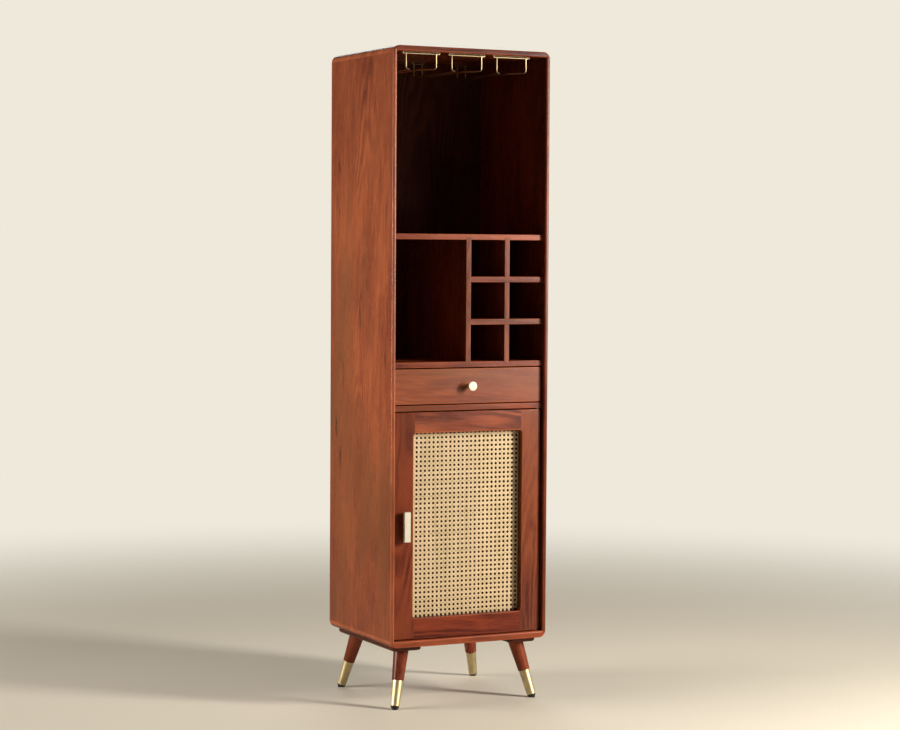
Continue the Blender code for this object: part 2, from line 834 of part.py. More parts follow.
bead_front = cane_y + cane_thickness / 2 + clearance
bead_out_x = cane_half_x + cane_margin
bead_out_z = cane_half_z + cane_margin
for side, side_name in ((-1, "bottom"), (1, "top")):
    outer = opening_middle_z + side * bead_out_z
    inner = outer - side * bead_width
    add_board(f"cane_bead_{side_name}", (door_middle - bead_out_x, bead_front, min(outer, inner)),
              (door_middle + bead_out_x, bead_front + bead_thickness, max(outer, inner)), parent=door_hinge)
for side, side_name in ((-1, "handle_side"), (1, "pivot_side")):
    outer = door_middle + side * bead_out_x
    inner = outer - side * bead_width
    half_bead = bead_out_z - bead_width - clearance
    add_board(f"cane_bead_{side_name}", (min(outer, inner), bead_front, opening_middle_z - half_bead),
              (max(outer, inner), bead_front + bead_thickness, opening_middle_z + half_bead),
              parent=door_hinge)


# Door pivots: a pin with a collar, between a carcass board and the pivot stile
def add_pivot(name, gap_low, gap_high, below, above):
    collar_low = gap_low + clearance
    collar_high = gap_high - clearance
    pin_low = gap_low - pivot_depth
    pin_high = gap_high + pivot_depth
    profile = [(0, pin_high), (pivot_radius, pin_high), (pivot_radius, collar_high),
               (pivot_collar_radius, collar_high), (pivot_collar_radius, collar_low),
               (pivot_radius, collar_low), (pivot_radius, pin_low), (0, pin_low)]
    add_part(name, turned(name, profile), "steel", (pivot_x, pivot_y, 0))
    for target, low, high in ((below, pin_low, gap_low), (above, gap_high, pin_high)):
        tool = rod(f"{name}_bore", pivot_radius + clearance, low - clearance, high + clearance)
        combine(target, add_cutter(f"{name}_bore_in_{target.name}", tool, (pivot_x, pivot_y, 0)))


add_pivot("lower_pivot_pin", floor_inside, door_low, bottom_panel, pivot_stile)
add_pivot("upper_pivot_pin", door_high, divider_bottom, pivot_stile, shelves["drawer_divider"])

# Magnetic catch under the divider, and its strike plate on the door
strike_left = door_left + catch_from_edge
strike_face = door_back + clearance
strike_high = door_high - strike_from_top
add_board("strike_plate", (strike_left, strike_face, strike_high - strike_height),
          (strike_left + strike_length, strike_face + strike_thickness, strike_high),
          "steel", parent=door_hinge)
catch_left = strike_left + (strike_length - catch_length) / 2
catch_face = strike_face + strike_thickness + clearance
add_board("magnetic_catch", (catch_left, catch_face, divider_bottom - clearance - catch_height),
          (catch_left + catch_length, catch_face + catch_depth, divider_bottom - clearance), "black_plastic")

# Door handle: a flat bar on two posts, held by screws through the stile
handle_x = door_left + handle_from_edge
handle_z = (door_low + door_high) / 2
bar_back = door_face - handle_projection + handle_thickness
bar_centre, bar_size = between((handle_x - handle_width / 2, bar_back - handle_thickness,
                                handle_z - handle_length / 2),
                               (handle_x + handle_width / 2, bar_back, handle_z + handle_length / 2))
door_handle = add_part("door_handle", cuboid("door_handle", bar_size, all_front_edges, handle_edge_round),
                       "brass", bar_centre, door_hinge)
for sign, screw_name in ((-1, "lower"), (1, "upper")):
    post_z = handle_z + sign * (handle_length / 2 - handle_post_inset)
    foot = Vector((handle_x, door_face - clearance, post_z))
    post = rod(f"handle_post_{screw_name}", handle_post_radius, 0,
               handle_projection - clearance - handle_thickness / 2)
    combine(door_handle, add_cutter(f"handle_post_{screw_name}", post, foot, facing((0, -1, 0))), "UNION")
    bore(door_handle, f"handle_post_bore_{screw_name}", foot, screw_engagement + cut_overrun)
    seat = Vector((handle_x, door_back, post_z))
    bore(handle_stile, f"handle_screw_hole_{screw_name}", seat, door_thickness + cut_overrun)
    add_screw(f"handle_screw_{screw_name}", seat, door_thickness, door_hinge)


# Legs, ferrules and glides on one splayed axis at each corner
def ferrule_radius(along):
    share = (along - ferrule_bottom) / (ferrule_top - ferrule_bottom)
    return ferrule_bottom_radius + share * (ferrule_top_radius - ferrule_bottom_radius)


def leg_profile(top):
    """The wooden leg above its shoulder and the spigot inside the ferrule."""
    fit = ferrule_wall + clearance
    shoulder = ferrule_top + clearance
    growth = (leg_top_radius - leg_shoulder_radius) / (top - shoulder)
    high = top + leg_top_radius
    return [(0, high), (leg_top_radius + growth * leg_top_radius, high), (leg_shoulder_radius, shoulder),
            (ferrule_radius(ferrule_top) - fit, shoulder),
            (ferrule_radius(spigot_end) - fit, spigot_end), (0, spigot_end)]


def ferrule_profile():
    """A tapered brass tube, outside from top to bottom and inside back up."""
    return [(ferrule_top_radius - ferrule_lip_round, ferrule_top),
            (ferrule_radius(ferrule_top - ferrule_lip_round), ferrule_top - ferrule_lip_round),
            (ferrule_bottom_radius, ferrule_bottom),
            (ferrule_bottom_radius - ferrule_wall, ferrule_bottom),
            (ferrule_top_radius - ferrule_wall, ferrule_top)]


def glide_profile():
    """A plug inside the ferrule over a foot that tapers to the floor."""
    shoulder = ferrule_bottom - clearance
    plug = ferrule_bottom_radius - ferrule_wall - clearance
    return [(0, ferrule_bottom + glide_plug_length), (plug, ferrule_bottom + glide_plug_length),
            (plug, shoulder), (ferrule_bottom_radius, shoulder), (glide_foot_radius, 0),
            (glide_foot_radius, -glide_foot_radius), (0, -glide_foot_radius)]


def rounded_rectangle(half_x, half_y, radius):
    points = []
    for quarter, (sx, sy) in enumerate(((1, 1), (-1, 1), (-1, -1), (1, -1))):
        centre = (sx * (half_x - radius), sy * (half_y - radius))
        points += arc(centre, radius, 90 * quarter, 90 * quarter + 90, corner_steps)
    return points


def add_batten(side, side_x):
    """A board under the bottom panel, from front to back, that carries the two legs of one side."""
    name = f"leg_batten_{side}"
    low_y = front + batten_front_inset
    high_y = rear - batten_back_inset
    outline = rounded_rectangle(batten_width / 2, (high_y - low_y) / 2, batten_corner_radius)
    bm = flat_faces_joined(outline_mesh(name, [outline], batten_thickness - clearance))
    round_edges(bm, batten_edge_round, lambda start, end: start.z < 0 and end.z < 0)
    place = (side_x * (width / 2 - leg_side_inset), (low_y + high_y) / 2,
             batten_bottom + (batten_thickness - clearance) / 2)
    return add_part(name, mesh_from(name, bm), "dark_hardwood", place)


def add_leg(corner, side_x, side_y, batten):
    top_y = rear - leg_back_inset if side_y > 0 else front + leg_front_inset
    top = Vector((side_x * (width / 2 - leg_side_inset), top_y, batten_bottom))
    foot = Vector((top.x + side_x * leg_splay, top.y + side_y * leg_splay, 0))
    run = top - foot
    turn = facing(run)
    leg = add_part(f"leg_{corner}", turned(f"leg_{corner}", leg_profile(run.length)), "hardwood",
                   foot, None, turn)
    spread = leg_top_radius * 3
    cut_box(leg, f"leg_{corner}_trim", (top.x - spread, top.y - spread, batten_bottom - clearance),
            (top.x + spread, top.y + spread, batten_bottom + spread))
    add_part(f"ferrule_{corner}", turned(f"ferrule_{corner}", ferrule_profile(), True), "brass",
             foot, None, turn)
    glide = add_part(f"glide_{corner}", turned(f"glide_{corner}", glide_profile()), "black_plastic",
                     foot, None, turn)
    cut_box(glide, f"glide_{corner}_trim", (foot.x - spread, foot.y - spread, -spread),
            (foot.x + spread, foot.y + spread, 0))
    stretch = run.length / run.z
    bolt_low = run.length - leg_bolt_in_leg
    bolt_high = run.length + (batten_thickness - clearance) * stretch - leg_bolt_radius
    add_part(f"leg_bolt_{corner}", rod(f"leg_bolt_{corner}", leg_bolt_radius, bolt_low, bolt_high),
             "steel", foot, None, turn)
    hole = rod(f"leg_bolt_hole_{corner}", leg_bolt_radius + clearance, bolt_low - clearance,
               bolt_high + clearance)
    tool = add_cutter(f"leg_bolt_hole_{corner}", hole, foot, turn)
    combine(leg, tool)
    combine(batten, tool)


for side, side_x in (("left", -1), ("right", 1)):
    batten = add_batten(side, side_x)
    for end, side_y in (("front", -1), ("back", 1)):
        add_leg(f"{end}_{side}", side_x, side_y, batten)
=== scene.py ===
# %% [markdown]
# # A tall bar cabinet in stained hardwood
#
# This lesson dresses a cabinet that already exists as plain solids. The solids give every
# size and every moving body. Here each board gets its timber and lacquer, the metal parts
# their polish, and the door its woven cane. All lengths are in metres, X runs to the
# cabinet's right, the front faces -Y and the floor is Z = 0.

import json
import math
from functools import partial

import bmesh
import bpy
from mathutils import Matrix, Vector


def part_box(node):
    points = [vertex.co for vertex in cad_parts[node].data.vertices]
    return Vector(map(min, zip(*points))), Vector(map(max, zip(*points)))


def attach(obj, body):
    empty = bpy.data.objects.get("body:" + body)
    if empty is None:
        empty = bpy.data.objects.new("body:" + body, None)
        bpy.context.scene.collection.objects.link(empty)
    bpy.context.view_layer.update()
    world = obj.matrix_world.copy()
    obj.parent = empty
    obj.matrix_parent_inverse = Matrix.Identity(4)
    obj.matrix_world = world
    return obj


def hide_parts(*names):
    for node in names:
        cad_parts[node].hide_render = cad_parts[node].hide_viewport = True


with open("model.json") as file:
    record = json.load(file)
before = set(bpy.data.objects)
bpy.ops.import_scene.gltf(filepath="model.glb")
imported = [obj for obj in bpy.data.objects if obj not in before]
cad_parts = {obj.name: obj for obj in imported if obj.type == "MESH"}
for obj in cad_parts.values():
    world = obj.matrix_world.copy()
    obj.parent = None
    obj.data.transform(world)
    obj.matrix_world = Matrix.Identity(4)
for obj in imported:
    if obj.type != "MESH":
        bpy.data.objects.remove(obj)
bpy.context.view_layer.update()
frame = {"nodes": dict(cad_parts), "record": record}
print("solids:", len(frame["nodes"]))

# %% [markdown]
# ## The camera
#
# A long lens stands to the left of the cabinet, a little over waist height, and looks very
# slightly down. Such a view keeps the uprights almost parallel. The camera is described by
# the turn, the dip and the roll that a photographer would read from a tripod head.

# %% Set up the camera
def add_object(name, data):
    """Put a mesh, a camera or a light into the scene."""
    thing = bpy.data.objects.new(name, data)
    bpy.context.scene.collection.objects.link(thing)
    return thing


camera_place = Vector((-2.8165, -5.65485, 1.2265))
camera_turn = 0.4559
camera_dip = -0.0455
camera_roll = 0.0058
lens_mm = 90.88
frame_shift_x = 0.0279
frame_shift_y = -0.0083

ahead = Vector((math.sin(camera_turn) * math.cos(camera_dip),
                math.cos(camera_turn) * math.cos(camera_dip),
                math.sin(camera_dip)))
level_right = Vector((math.cos(camera_turn), -math.sin(camera_turn), 0))
level_up = level_right.cross(ahead)
view_right = math.cos(camera_roll) * level_right + math.sin(camera_roll) * level_up
view_up = -math.sin(camera_roll) * level_right + math.cos(camera_roll) * level_up

camera_data = bpy.data.cameras.new("studio_camera")
camera_data.sensor_fit = "HORIZONTAL"
camera_data.sensor_width = 36.0
camera_data.lens = lens_mm
camera_data.shift_x = frame_shift_x
camera_data.shift_y = frame_shift_y
camera = add_object("studio_camera", camera_data)
camera.matrix_world = Matrix.Translation(camera_place) @ Matrix(
    (view_right, view_up, -ahead)).transposed().to_4x4()
bpy.context.scene.camera = camera
print("camera looks along", tuple(round(part, 3) for part in ahead))

# %% [markdown]
# ## Shader graphs
#
# Materials are graphs of small nodes. A few helpers keep the script readable: one fills in a
# node's sockets, one adds a node with its settings, and others add a piece of arithmetic, a
# blend of two colours or a noise pattern. The arithmetic also serves the Geometry Nodes
# further down.

# %% Helpers for shader graphs
def fill_in(tree, node, inputs):
    """Give a node's sockets their values: numbers, colours, vectors or other nodes' outputs."""
    for socket, value in inputs.items():
        if isinstance(value, bpy.types.NodeSocket):
            tree.links.new(value, node.inputs[socket])
        else:
            node.inputs[socket].default_value = value


def add_node(tree, kind, inputs=None, **settings):
    """Add a node, set its options by keyword and its sockets from a dictionary."""
    node = tree.nodes.new(kind)
    for setting, value in settings.items():
        setattr(node, setting, value)
    fill_in(tree, node, inputs or {})
    return node


def calculate(tree, operation, first, second=0.0):
    """The result of one sum on two numbers or sockets."""
    return add_node(tree, "ShaderNodeMath", {0: first, 1: second}, operation=operation).outputs[0]


def arithmetic(tree):
    """Short calls for the four plain sums in one tree."""
    return [partial(calculate, tree, operation) for operation in ("ADD", "SUBTRACT", "MULTIPLY", "DIVIDE")]


def vector(tree, **parts):
    """A vector put together from its X, Y and Z, which are 0 where they aren't given."""
    return add_node(tree, "ShaderNodeCombineXYZ", parts).outputs[0]


def remap(tree, value, low, high, to_low=0.0, to_high=1.0):
    """Spread the part of a value between low and high over a new range, smoothly."""
    node = add_node(tree, "ShaderNodeMapRange",
                    {"Value": value, "From Min": low, "From Max": high, "To Min": to_low,
                     "To Max": to_high}, interpolation_type="SMOOTHSTEP")
    return node.outputs["Result"]


def blend_colours(tree, share, first, second):
    """The second colour laid over the first by a share."""
    return add_node(tree, "ShaderNodeMix", {0: share, 6: first, 7: second}, data_type="RGBA").outputs[2]


def noise(tree, place, scale, detail=2.0, seed=0.0, roughness=0.5, output="Fac"):
    node = add_node(tree, "ShaderNodeTexNoise",
                    {"Vector": place, "Scale": scale, "Detail": detail, "Roughness": roughness, "W": seed},
                    noise_dimensions="4D")
    return node.outputs[output]


def streaks(tree, place, along, scale, detail, seed, roughness=0.5, output="Fac"):
    """Noise drawn out along Z. The smaller the share along, the longer its streaks."""
    drawn_out = add_node(tree, "ShaderNodeVectorMath", {0: place, 1: (1.0, 1.0, along)}, operation="MULTIPLY")
    return noise(tree, drawn_out.outputs[0], scale, detail, seed, roughness, output)


def new_group(name, inputs, outputs):
    """A shader node group with named sockets. Returns the tree and its two end nodes."""
    tree = bpy.data.node_groups.new(name, "ShaderNodeTree")
    for direction, sockets in (("INPUT", inputs), ("OUTPUT", outputs)):
        for socket, (kind, default) in sockets.items():
            made = tree.interface.new_socket(name=socket, in_out=direction,
                                             socket_type="NodeSocket" + kind)
            if default is not None:
                made.default_value = default
    return tree, tree.nodes.new("NodeGroupInput").outputs, tree.nodes.new("NodeGroupOutput").inputs


# %% [markdown]
# ## The figure of the timber
#
# The cabinet is made of a dense red-brown hardwood. A board is a slice of a log, so the
# pattern is worked out in the log's own space: Z runs along the pith, and the growth rings
# lie round it. Where a board's face cuts the rings at a low angle they show as long nested
# arches. Over the rings lie broad drifts of red, brown and olive, short dark marks, fine
# fibres and pores, all squeezed along the grain. Along eased edges the wood is painted paler,
# unevenly, partly as staining worn thin and partly as a painted highlight on the rounded
# edges. A group builds this once, and every board gets its own seed. Patterns that mustn't
# follow one another shift that seed by amounts of their own.

# %% Build the timber group
ring_bend = 0.022
ring_scale = 38.0
base_tone = 0.28
drift_share = 0.56
ring_share = 0.16
band_share = 0.22
fibre_share = 0.26
olive_share = 0.62
pore_share = 0.30
edge_wear_and_highlight_share = 0.60
bare_roughness = 0.22
drift_roughness = 0.10
pore_roughness = 0.08
edge_wear_and_highlight_roughness = 0.08
fibre_height = 0.4
mark_colour = (0.050, 0.020, 0.011, 1.0)
pore_colour = (0.020, 0.007, 0.005, 1.0)


def build_timber_group():
    tree, given, result = new_group(
        "timber_figure",
        {"Vector": ("Vector", None), "Seed": ("Float", 0.0), "Marks": ("Float", 0.6),
         "Figure": ("Float", 1.0), "Pale": ("Color", (0.5, 0.2, 0.1, 1)),
         "Body": ("Color", (0.3, 0.1, 0.05, 1)), "Dark": ("Color", (0.1, 0.03, 0.02, 1)),
         "Olive": ("Color", (0.16, 0.07, 0.03, 1)), "Eased": ("Float", 0.0),
         "Wear And Highlight": ("Color", (0.6, 0.25, 0.12, 1))},
        {"Color": ("Color", None), "Roughness": ("Float", None), "Height": ("Float", None)})
    plus, minus, times, _ = arithmetic(tree)
    seed = given["Seed"]
    place = given["Vector"]
    # Each pattern's numbers: share along the grain, scale, detail, seed, roughness.
    drift = streaks(tree, place, 0.30, 8.0, 4.0, seed, 0.55)
    bend = streaks(tree, place, 0.30, 9.0, 3.0, seed, output="Color")
    centred = add_node(tree, "ShaderNodeVectorMath", {0: bend, 1: (0.5, 0.5, 0.5)}, operation="SUBTRACT")
    pushed = add_node(tree, "ShaderNodeVectorMath",
                      {0: centred.outputs[0], 1: (2 * ring_bend, 2 * ring_bend, 0.0), 2: place},
                      operation="MULTIPLY_ADD").outputs[0]
    rings = add_node(tree, "ShaderNodeTexWave", {"Vector": pushed, "Scale": ring_scale, "Distortion": 0.0},
                     wave_type="RINGS", rings_direction="Z").outputs["Fac"]
    clear = streaks(tree, place, 0.35, 11.0, 2.0, plus(seed, 1.9))
    rings = times(minus(rings, 0.5), remap(tree, clear, 0.38, 0.66))
    bands = streaks(tree, pushed, 0.05, 70.0, 3.0, seed, 0.6)
    fibres = streaks(tree, place, 0.04, 420.0, 3.0, seed, 0.6)
    broad = plus(times(minus(drift, 0.5), drift_share), times(rings, ring_share))
    tone = plus(times(broad, given["Figure"]), base_tone)
    tone = plus(tone, times(bands, band_share))
    tone = plus(tone, times(fibres, fibre_share))
    colour = blend_colours(tree, remap(tree, tone, 0.37, 0.51), given["Dark"], given["Body"])
    colour = blend_colours(tree, remap(tree, tone, 0.48, 0.62), colour, given["Pale"])
    olive = streaks(tree, place, 0.25, 6.0, 3.0, plus(seed, 3.7), 0.55)
    colour = blend_colours(tree, times(remap(tree, olive, 0.46, 0.68), olive_share), colour, given["Olive"])
    mark = streaks(tree, pushed, 0.16, 34.0, 3.0, plus(seed, 7.3), 0.6)
    colour = blend_colours(tree, times(remap(tree, mark, 0.62, 0.78), given["Marks"]), colour, mark_colour)
    pores = remap(tree, streaks(tree, place, 0.03, 1100.0, 1.0, seed), 0.54, 0.72)
    colour = blend_colours(tree, times(pores, pore_share), colour, pore_colour)
    # Painted highlight and wear: eased edges get a paler colour, laid on unevenly.
    edge_wear_and_highlight = streaks(tree, place, 0.30, 30.0, 2.0, plus(seed, 5.1))
    edge_wear_and_highlight = times(remap(tree, edge_wear_and_highlight, 0.35, 0.65, 0.35, 1.0), given["Eased"])
    colour = blend_colours(tree, times(edge_wear_and_highlight, edge_wear_and_highlight_share), colour, given["Wear And Highlight"])
    roughness = plus(times(pores, pore_roughness), bare_roughness)
    roughness = plus(roughness, times(drift, drift_roughness))
    roughness = plus(roughness, times(edge_wear_and_highlight, edge_wear_and_highlight_roughness))
    height = minus(times(fibres, fibre_height), pores)
    for socket, value in (("Color", colour), ("Roughness", roughness), ("Height", height)):
        tree.links.new(value, result[socket])
    return tree


timber_figure = build_timber_group()
print("timber group:", len(timber_figure.nodes), "nodes")

# %% [markdown]
# ## Lacquered hardwood
#
# One function makes the material of a board. A Mapping node carries the cabinet's space into
# the log's: the grain may run along X, Y or Z, and the pith passes a little behind the
# board's middle, slightly askew, so that the rings rise into arches. Stain sinks deeper into
# some boards than into others, so each may be a little darker or lighter, and redder or
# warmer; on some boards the darker or lighter staining is also painted shade and sheen. The
# lacquer is the shader's own clear coat.

# %% Make lacquered hardwood
stain_pale = (0.370, 0.078, 0.025)
stain_body = (0.240, 0.046, 0.017)
stain_dark = (0.110, 0.020, 0.009)
stain_olive = (0.190, 0.058, 0.020)
edge_wear_and_highlight_gain = 1.6
lacquer_specular = 0.18
lacquer_coat = 0.10
coat_roughness = 0.12
grain_depth = 0.00010
grain_turns = {"X": (0, math.radians(90), 0), "Y": (math.radians(-90), 0, 0), "Z": (0, 0, 0)}
pith_lean = math.radians(4.0)
pith_depth = 0.045


def start_material(name):
    material = bpy.data.materials.new(name)
    material.use_nodes = True
    tree = material.node_tree
    shader = tree.nodes["Principled BSDF"]
    place = add_node(tree, "ShaderNodeTexCoord").outputs["Object"]
    return material, tree, shader, place


def along_grain(tree, place, grain, pith=(0, 0, 0), lean=0.0):
    """The place seen from the log: the pith is the origin and the grain runs along Z."""
    turn = [angle + lean for angle in grain_turns[grain]]
    return add_node(tree, "ShaderNodeMapping", {"Vector": place, "Location": pith, "Rotation": turn},
                    vector_type="TEXTURE").outputs["Vector"]


def bump(tree, shader, height, distance, strength=0.5):
    node = add_node(tree, "ShaderNodeBump", {"Height": height, "Distance": distance, "Strength": strength})
    tree.links.new(node.outputs["Normal"], shader.inputs["Normal"])


def shade(colour, factor, warmth=1.0):
    red, green, blue = colour
    return (red * factor, green * factor * warmth, blue * factor * warmth ** 1.5, 1.0)


def lacquered_hardwood(node, grain, seed, stain_and_shade, warmth, marks, arches=1.0, coat=lacquer_coat):
    material, tree, shader, place = start_material(f"hardwood_{node}")
    low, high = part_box(node)
    middle = (low + high) / 2
    thin = min(range(3), key=lambda axis: high[axis] - low[axis])
    middle[thin] -= math.copysign(pith_depth, -1 if seed % 2 else 1)
    figure = add_node(tree, "ShaderNodeGroup", {
        "Vector": along_grain(tree, place, grain, middle, pith_lean),
        "Seed": seed, "Marks": marks, "Figure": arches,
        "Pale": shade(stain_pale, stain_and_shade, warmth), "Body": shade(stain_body, stain_and_shade, warmth),
        "Dark": shade(stain_dark, stain_and_shade, warmth), "Olive": shade(stain_olive, stain_and_shade, warmth),
        # The paler edge colour paints wear and a highlight along the eased edges.
        "Wear And Highlight": shade(stain_pale, stain_and_shade * edge_wear_and_highlight_gain, warmth),
        "Eased": add_node(tree, "ShaderNodeAttribute", attribute_name="eased").outputs["Fac"],
    }, node_tree=timber_figure)
    fill_in(tree, shader, {
        "Base Color": figure.outputs["Color"], "Roughness": figure.outputs["Roughness"],
        "Specular IOR Level": lacquer_specular, "Coat Weight": coat, "Coat Roughness": coat_roughness})
    bump(tree, shader, figure.outputs["Height"], grain_depth)
    return material


# %% [markdown]
# ## Dressing the boards
#
# The boards' solids have the right shape already, mitres, housings and eased edges included.
# A loaded solid is loose triangles with hard shading, so a copy is welded, its flat faces are
# joined again, and its eased edges are shaded smooth. Weighted normals keep the flat faces
# truly flat beside a rounded edge. The narrow slanting faces of the eased edges are marked in
# an attribute, which tells the timber where to lay its paler edge colour, a mix of worn
# staining and a painted highlight.

# %% Smooth copies of the boards
weld_distance = 0.00002
widest_easing = 0.003
slanting_below = 0.999


def mesh_of(bm, name):
    """The mesh of a worked shape, whose working copy is let go."""
    mesh = bpy.data.meshes.new(name)
    bm.to_mesh(mesh)
    bm.free()
    return mesh


def flat_joined(mesh):
    """A welded copy of loose triangles, with flat areas joined into single faces."""
    bm = bmesh.new()
    bm.from_mesh(mesh)
    bmesh.ops.remove_doubles(bm, verts=bm.verts, dist=weld_distance)
    bmesh.ops.dissolve_limit(bm, angle_limit=math.radians(0.5), verts=bm.verts, edges=bm.edges)
    return bm


def put(name, mesh, material, body, *nodes, slot=None):
    """Link a finished mesh as a piece that rides on a body and stands for its solids."""
    piece = add_object(name, mesh)
    piece.data.materials.clear()
    piece.data.materials.append(material)
    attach(piece, body)
    if nodes:
        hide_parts(*nodes)
    return piece


def finished_mesh(thing, name):
    """The mesh that an object's modifiers make, in place of the object."""
    bpy.context.view_layer.update()
    depsgraph = bpy.context.evaluated_depsgraph_get()
    mesh = bpy.data.meshes.new_from_object(thing.evaluated_get(depsgraph))
    mesh.name = name
    bpy.data.objects.remove(thing, do_unlink=True)
    return mesh


def soften(mesh, name, angle=40):
    """Smooth shading between faces that meet at a small angle, with flat faces kept flat."""
    mesh.shade_smooth()
    mesh.set_sharp_from_angle(angle=math.radians(angle))
    thing = add_object(name, mesh)
    weighted = thing.modifiers.new("flat_faces_stay_flat", "WEIGHTED_NORMAL")
    weighted.keep_sharp = True
    return finished_mesh(thing, name)


def body_of(node):
    for body, nodes in frame["record"]["behaviour"]["bodies"].items():
        if node in nodes:
            return body


def mark_eased_edges(mesh):
    """Store 1 on the narrow slanting faces of eased edges, and 0 on every other face."""
    eased = mesh.attributes.new("eased", "FLOAT", "FACE")
    for face in mesh.polygons:
        longest = max((mesh.vertices[one].co - mesh.vertices[other].co).length
                      for one, other in face.edge_keys)
        slanting = max(abs(part) for part in face.normal) < slanting_below
        eased.data[face.index].value = float(slanting and face.area < widest_easing * longest)


def dress_board(node, material, slot="hardwood"):
    name = node + "_lacquered"
    mesh = soften(mesh_of(flat_joined(frame["nodes"][node].data), name), name)
    mark_eased_edges(mesh)
    return put(name, mesh, material, body_of(node), node, slot=slot)


# Each row: grain, seed, staining with painted shade, warmth, marks, arches. Part of the
# staining is painted shade and sheen: the bottom rail is darker than the top rail, so the
# door darkens towards the bottom, the handle-side stile is darker than the pivot-side one,
# so the door lightens to the right, and the right side panel is darker, so its front edge
# and inner face stay dark.
board_looks = {
    "left_side_panel": ("Z", 87.0, 0.80, 1.24, 1.0, 0.75),
    "right_side_panel": ("Z", 2.0, 0.50, 1.00, 0.6, 1.0),
    "top_panel": ("X", 3.0, 0.54, 0.98, 0.6, 1.0),
    "bottom_panel": ("X", 4.0, 0.80, 0.95, 0.9, 1.2),
    "upper_shelf": ("X", 5.0, 0.85, 1.10, 0.6, 1.0),
    "middle_shelf": ("X", 6.0, 0.80, 1.05, 0.6, 1.0),
    "drawer_divider": ("X", 7.0, 0.75, 1.00, 0.6, 1.0),
    "bottle_rack_side": ("Z", 8.0, 0.55, 1.15, 0.6, 1.0),
    "bottle_rack_upright_1": ("Z", 9.0, 0.60, 1.15, 0.6, 1.0),
    "bottle_rack_board_1": ("X", 10.0, 0.80, 1.10, 0.6, 1.0),
    "bottle_rack_board_2": ("X", 11.0, 0.80, 1.10, 0.6, 1.0),
    "drawer_front": ("X", 80.0, 0.83, 1.24, 0.4, 0.60),
    "door_stile_handle_side": ("Z", 33.0, 0.54, 0.88, 0.9, 1.0),
    "door_stile_pivot_side": ("Z", 74.0, 0.64, 1.10, 0.8, 0.8),
    "door_rail_top": ("X", 63.0, 0.96, 1.16, 0.9, 1.0),
    "door_rail_bottom": ("X", 71.0, 0.66, 0.76, 1.0, 1.1),
}
for node, look in board_looks.items():
    dress_board(node, lacquered_hardwood(node, *look))
print("lacquered boards:", len(board_looks))

# %% [markdown]
# ## Boards that stay hidden
#
# Inside the drawer and behind the cane the timber is the same, only plainer and darker. On
# the back panel, which fills the compartments, the darker staining is also painted shade that
# keeps them deep and dark. The solids are right as they are, so they just take a material.

# %% Finish the hidden woodwork
def finish_solid(node, material):
    slots = frame["nodes"][node].material_slots
    for number in range(len(slots)):
        slots[number].material = material


# The darker staining is also painted shade on the back panel inside the compartments.
hidden_stain_and_shade = 0.30
hidden_warmth = 1.5
hidden_marks = 0.4
# Each row: grain, seed.
hidden_boards = {
    "drawer_side_left": ("Y", 21.0), "drawer_side_right": ("Y", 22.0), "drawer_back": ("X", 23.0),
    "drawer_runner_left": ("Y", 24.0), "drawer_runner_right": ("Y", 25.0),
    "cane_bead_top": ("X", 26.0), "cane_bead_bottom": ("X", 27.0),
    "cane_bead_handle_side": ("Z", 28.0), "cane_bead_pivot_side": ("Z", 29.0),
    "back_panel": ("Z", 30.0), "drawer_bottom": ("X", 31.0),
}
for node, (grain, seed) in hidden_boards.items():
    finish_solid(node, lacquered_hardwood(node, grain, seed, hidden_stain_and_shade, hidden_warmth, hidden_marks))
print("hidden boards:", len(hidden_boards))

# %% [markdown]
# ## Metal
#
# The fittings are brass with a fine brushed grain, and the hidden ones are plain steel. The
# knob and the handle have a pale satin finish that is almost cream. A shared group gives the
# brushed lines and a slight clouding of the surface.

# %% Build the brushed metal group and its materials
def build_metal_group():
    tree, given, result = new_group(
        "brushed_metal",
        {"Vector": ("Vector", None), "Bright": ("Color", (0.9, 0.7, 0.4, 1)),
         "Dull": ("Color", (0.6, 0.45, 0.25, 1)), "Satin": ("Float", 0.3)},
        {"Color": ("Color", None), "Roughness": ("Float", None), "Height": ("Float", None)})
    cloud = noise(tree, given["Vector"], 60.0, 3.0, 3.0)
    lines = streaks(tree, given["Vector"], 0.02, 2600.0, 1.0, 5.0)
    colour = blend_colours(tree, remap(tree, cloud, 0.35, 0.70), given["Bright"], given["Dull"])
    roughness = calculate(tree, "ADD", given["Satin"], calculate(tree, "MULTIPLY", lines, 0.10))
    for socket, value in (("Color", colour), ("Roughness", roughness), ("Height", lines)):
        tree.links.new(value, result[socket])
    return tree


brushed_metal = build_metal_group()
brush_depth = 0.00002
brush_strength = 0.3


def metal(name, bright, dull, roughness, grain="Z", metallic=1.0):
    material, tree, shader, place = start_material(name)
    surface = add_node(tree, "ShaderNodeGroup", {
        "Vector": along_grain(tree, place, grain), "Bright": bright, "Dull": dull, "Satin": roughness,
    }, node_tree=brushed_metal)
    fill_in(tree, shader, {"Base Color": surface.outputs["Color"],
                           "Roughness": surface.outputs["Roughness"], "Metallic": metallic})
    bump(tree, shader, surface.outputs["Height"], brush_depth, brush_strength)
    return material


# Each call: name, bright, dull, roughness, grain, metallic.
pale_brass = metal("pale_brass", (0.62, 0.56, 0.43, 1), (0.56, 0.505, 0.38, 1), 0.52, "Z", 0.85)
ferrule_brass = metal("ferrule_brass", (0.84, 0.67, 0.365, 1), (0.71, 0.55, 0.28, 1), 0.40)
wire_brass = metal("wire_brass", (0.44, 0.34, 0.19, 1), (0.40, 0.30, 0.16, 1), 0.40, "Y")
zinc_steel = metal("zinc_steel", (0.60, 0.60, 0.62, 1), (0.46, 0.46, 0.48, 1), 0.32)
print("metals:", pale_brass.name, ferrule_brass.name, wire_brass.name, zinc_steel.name)

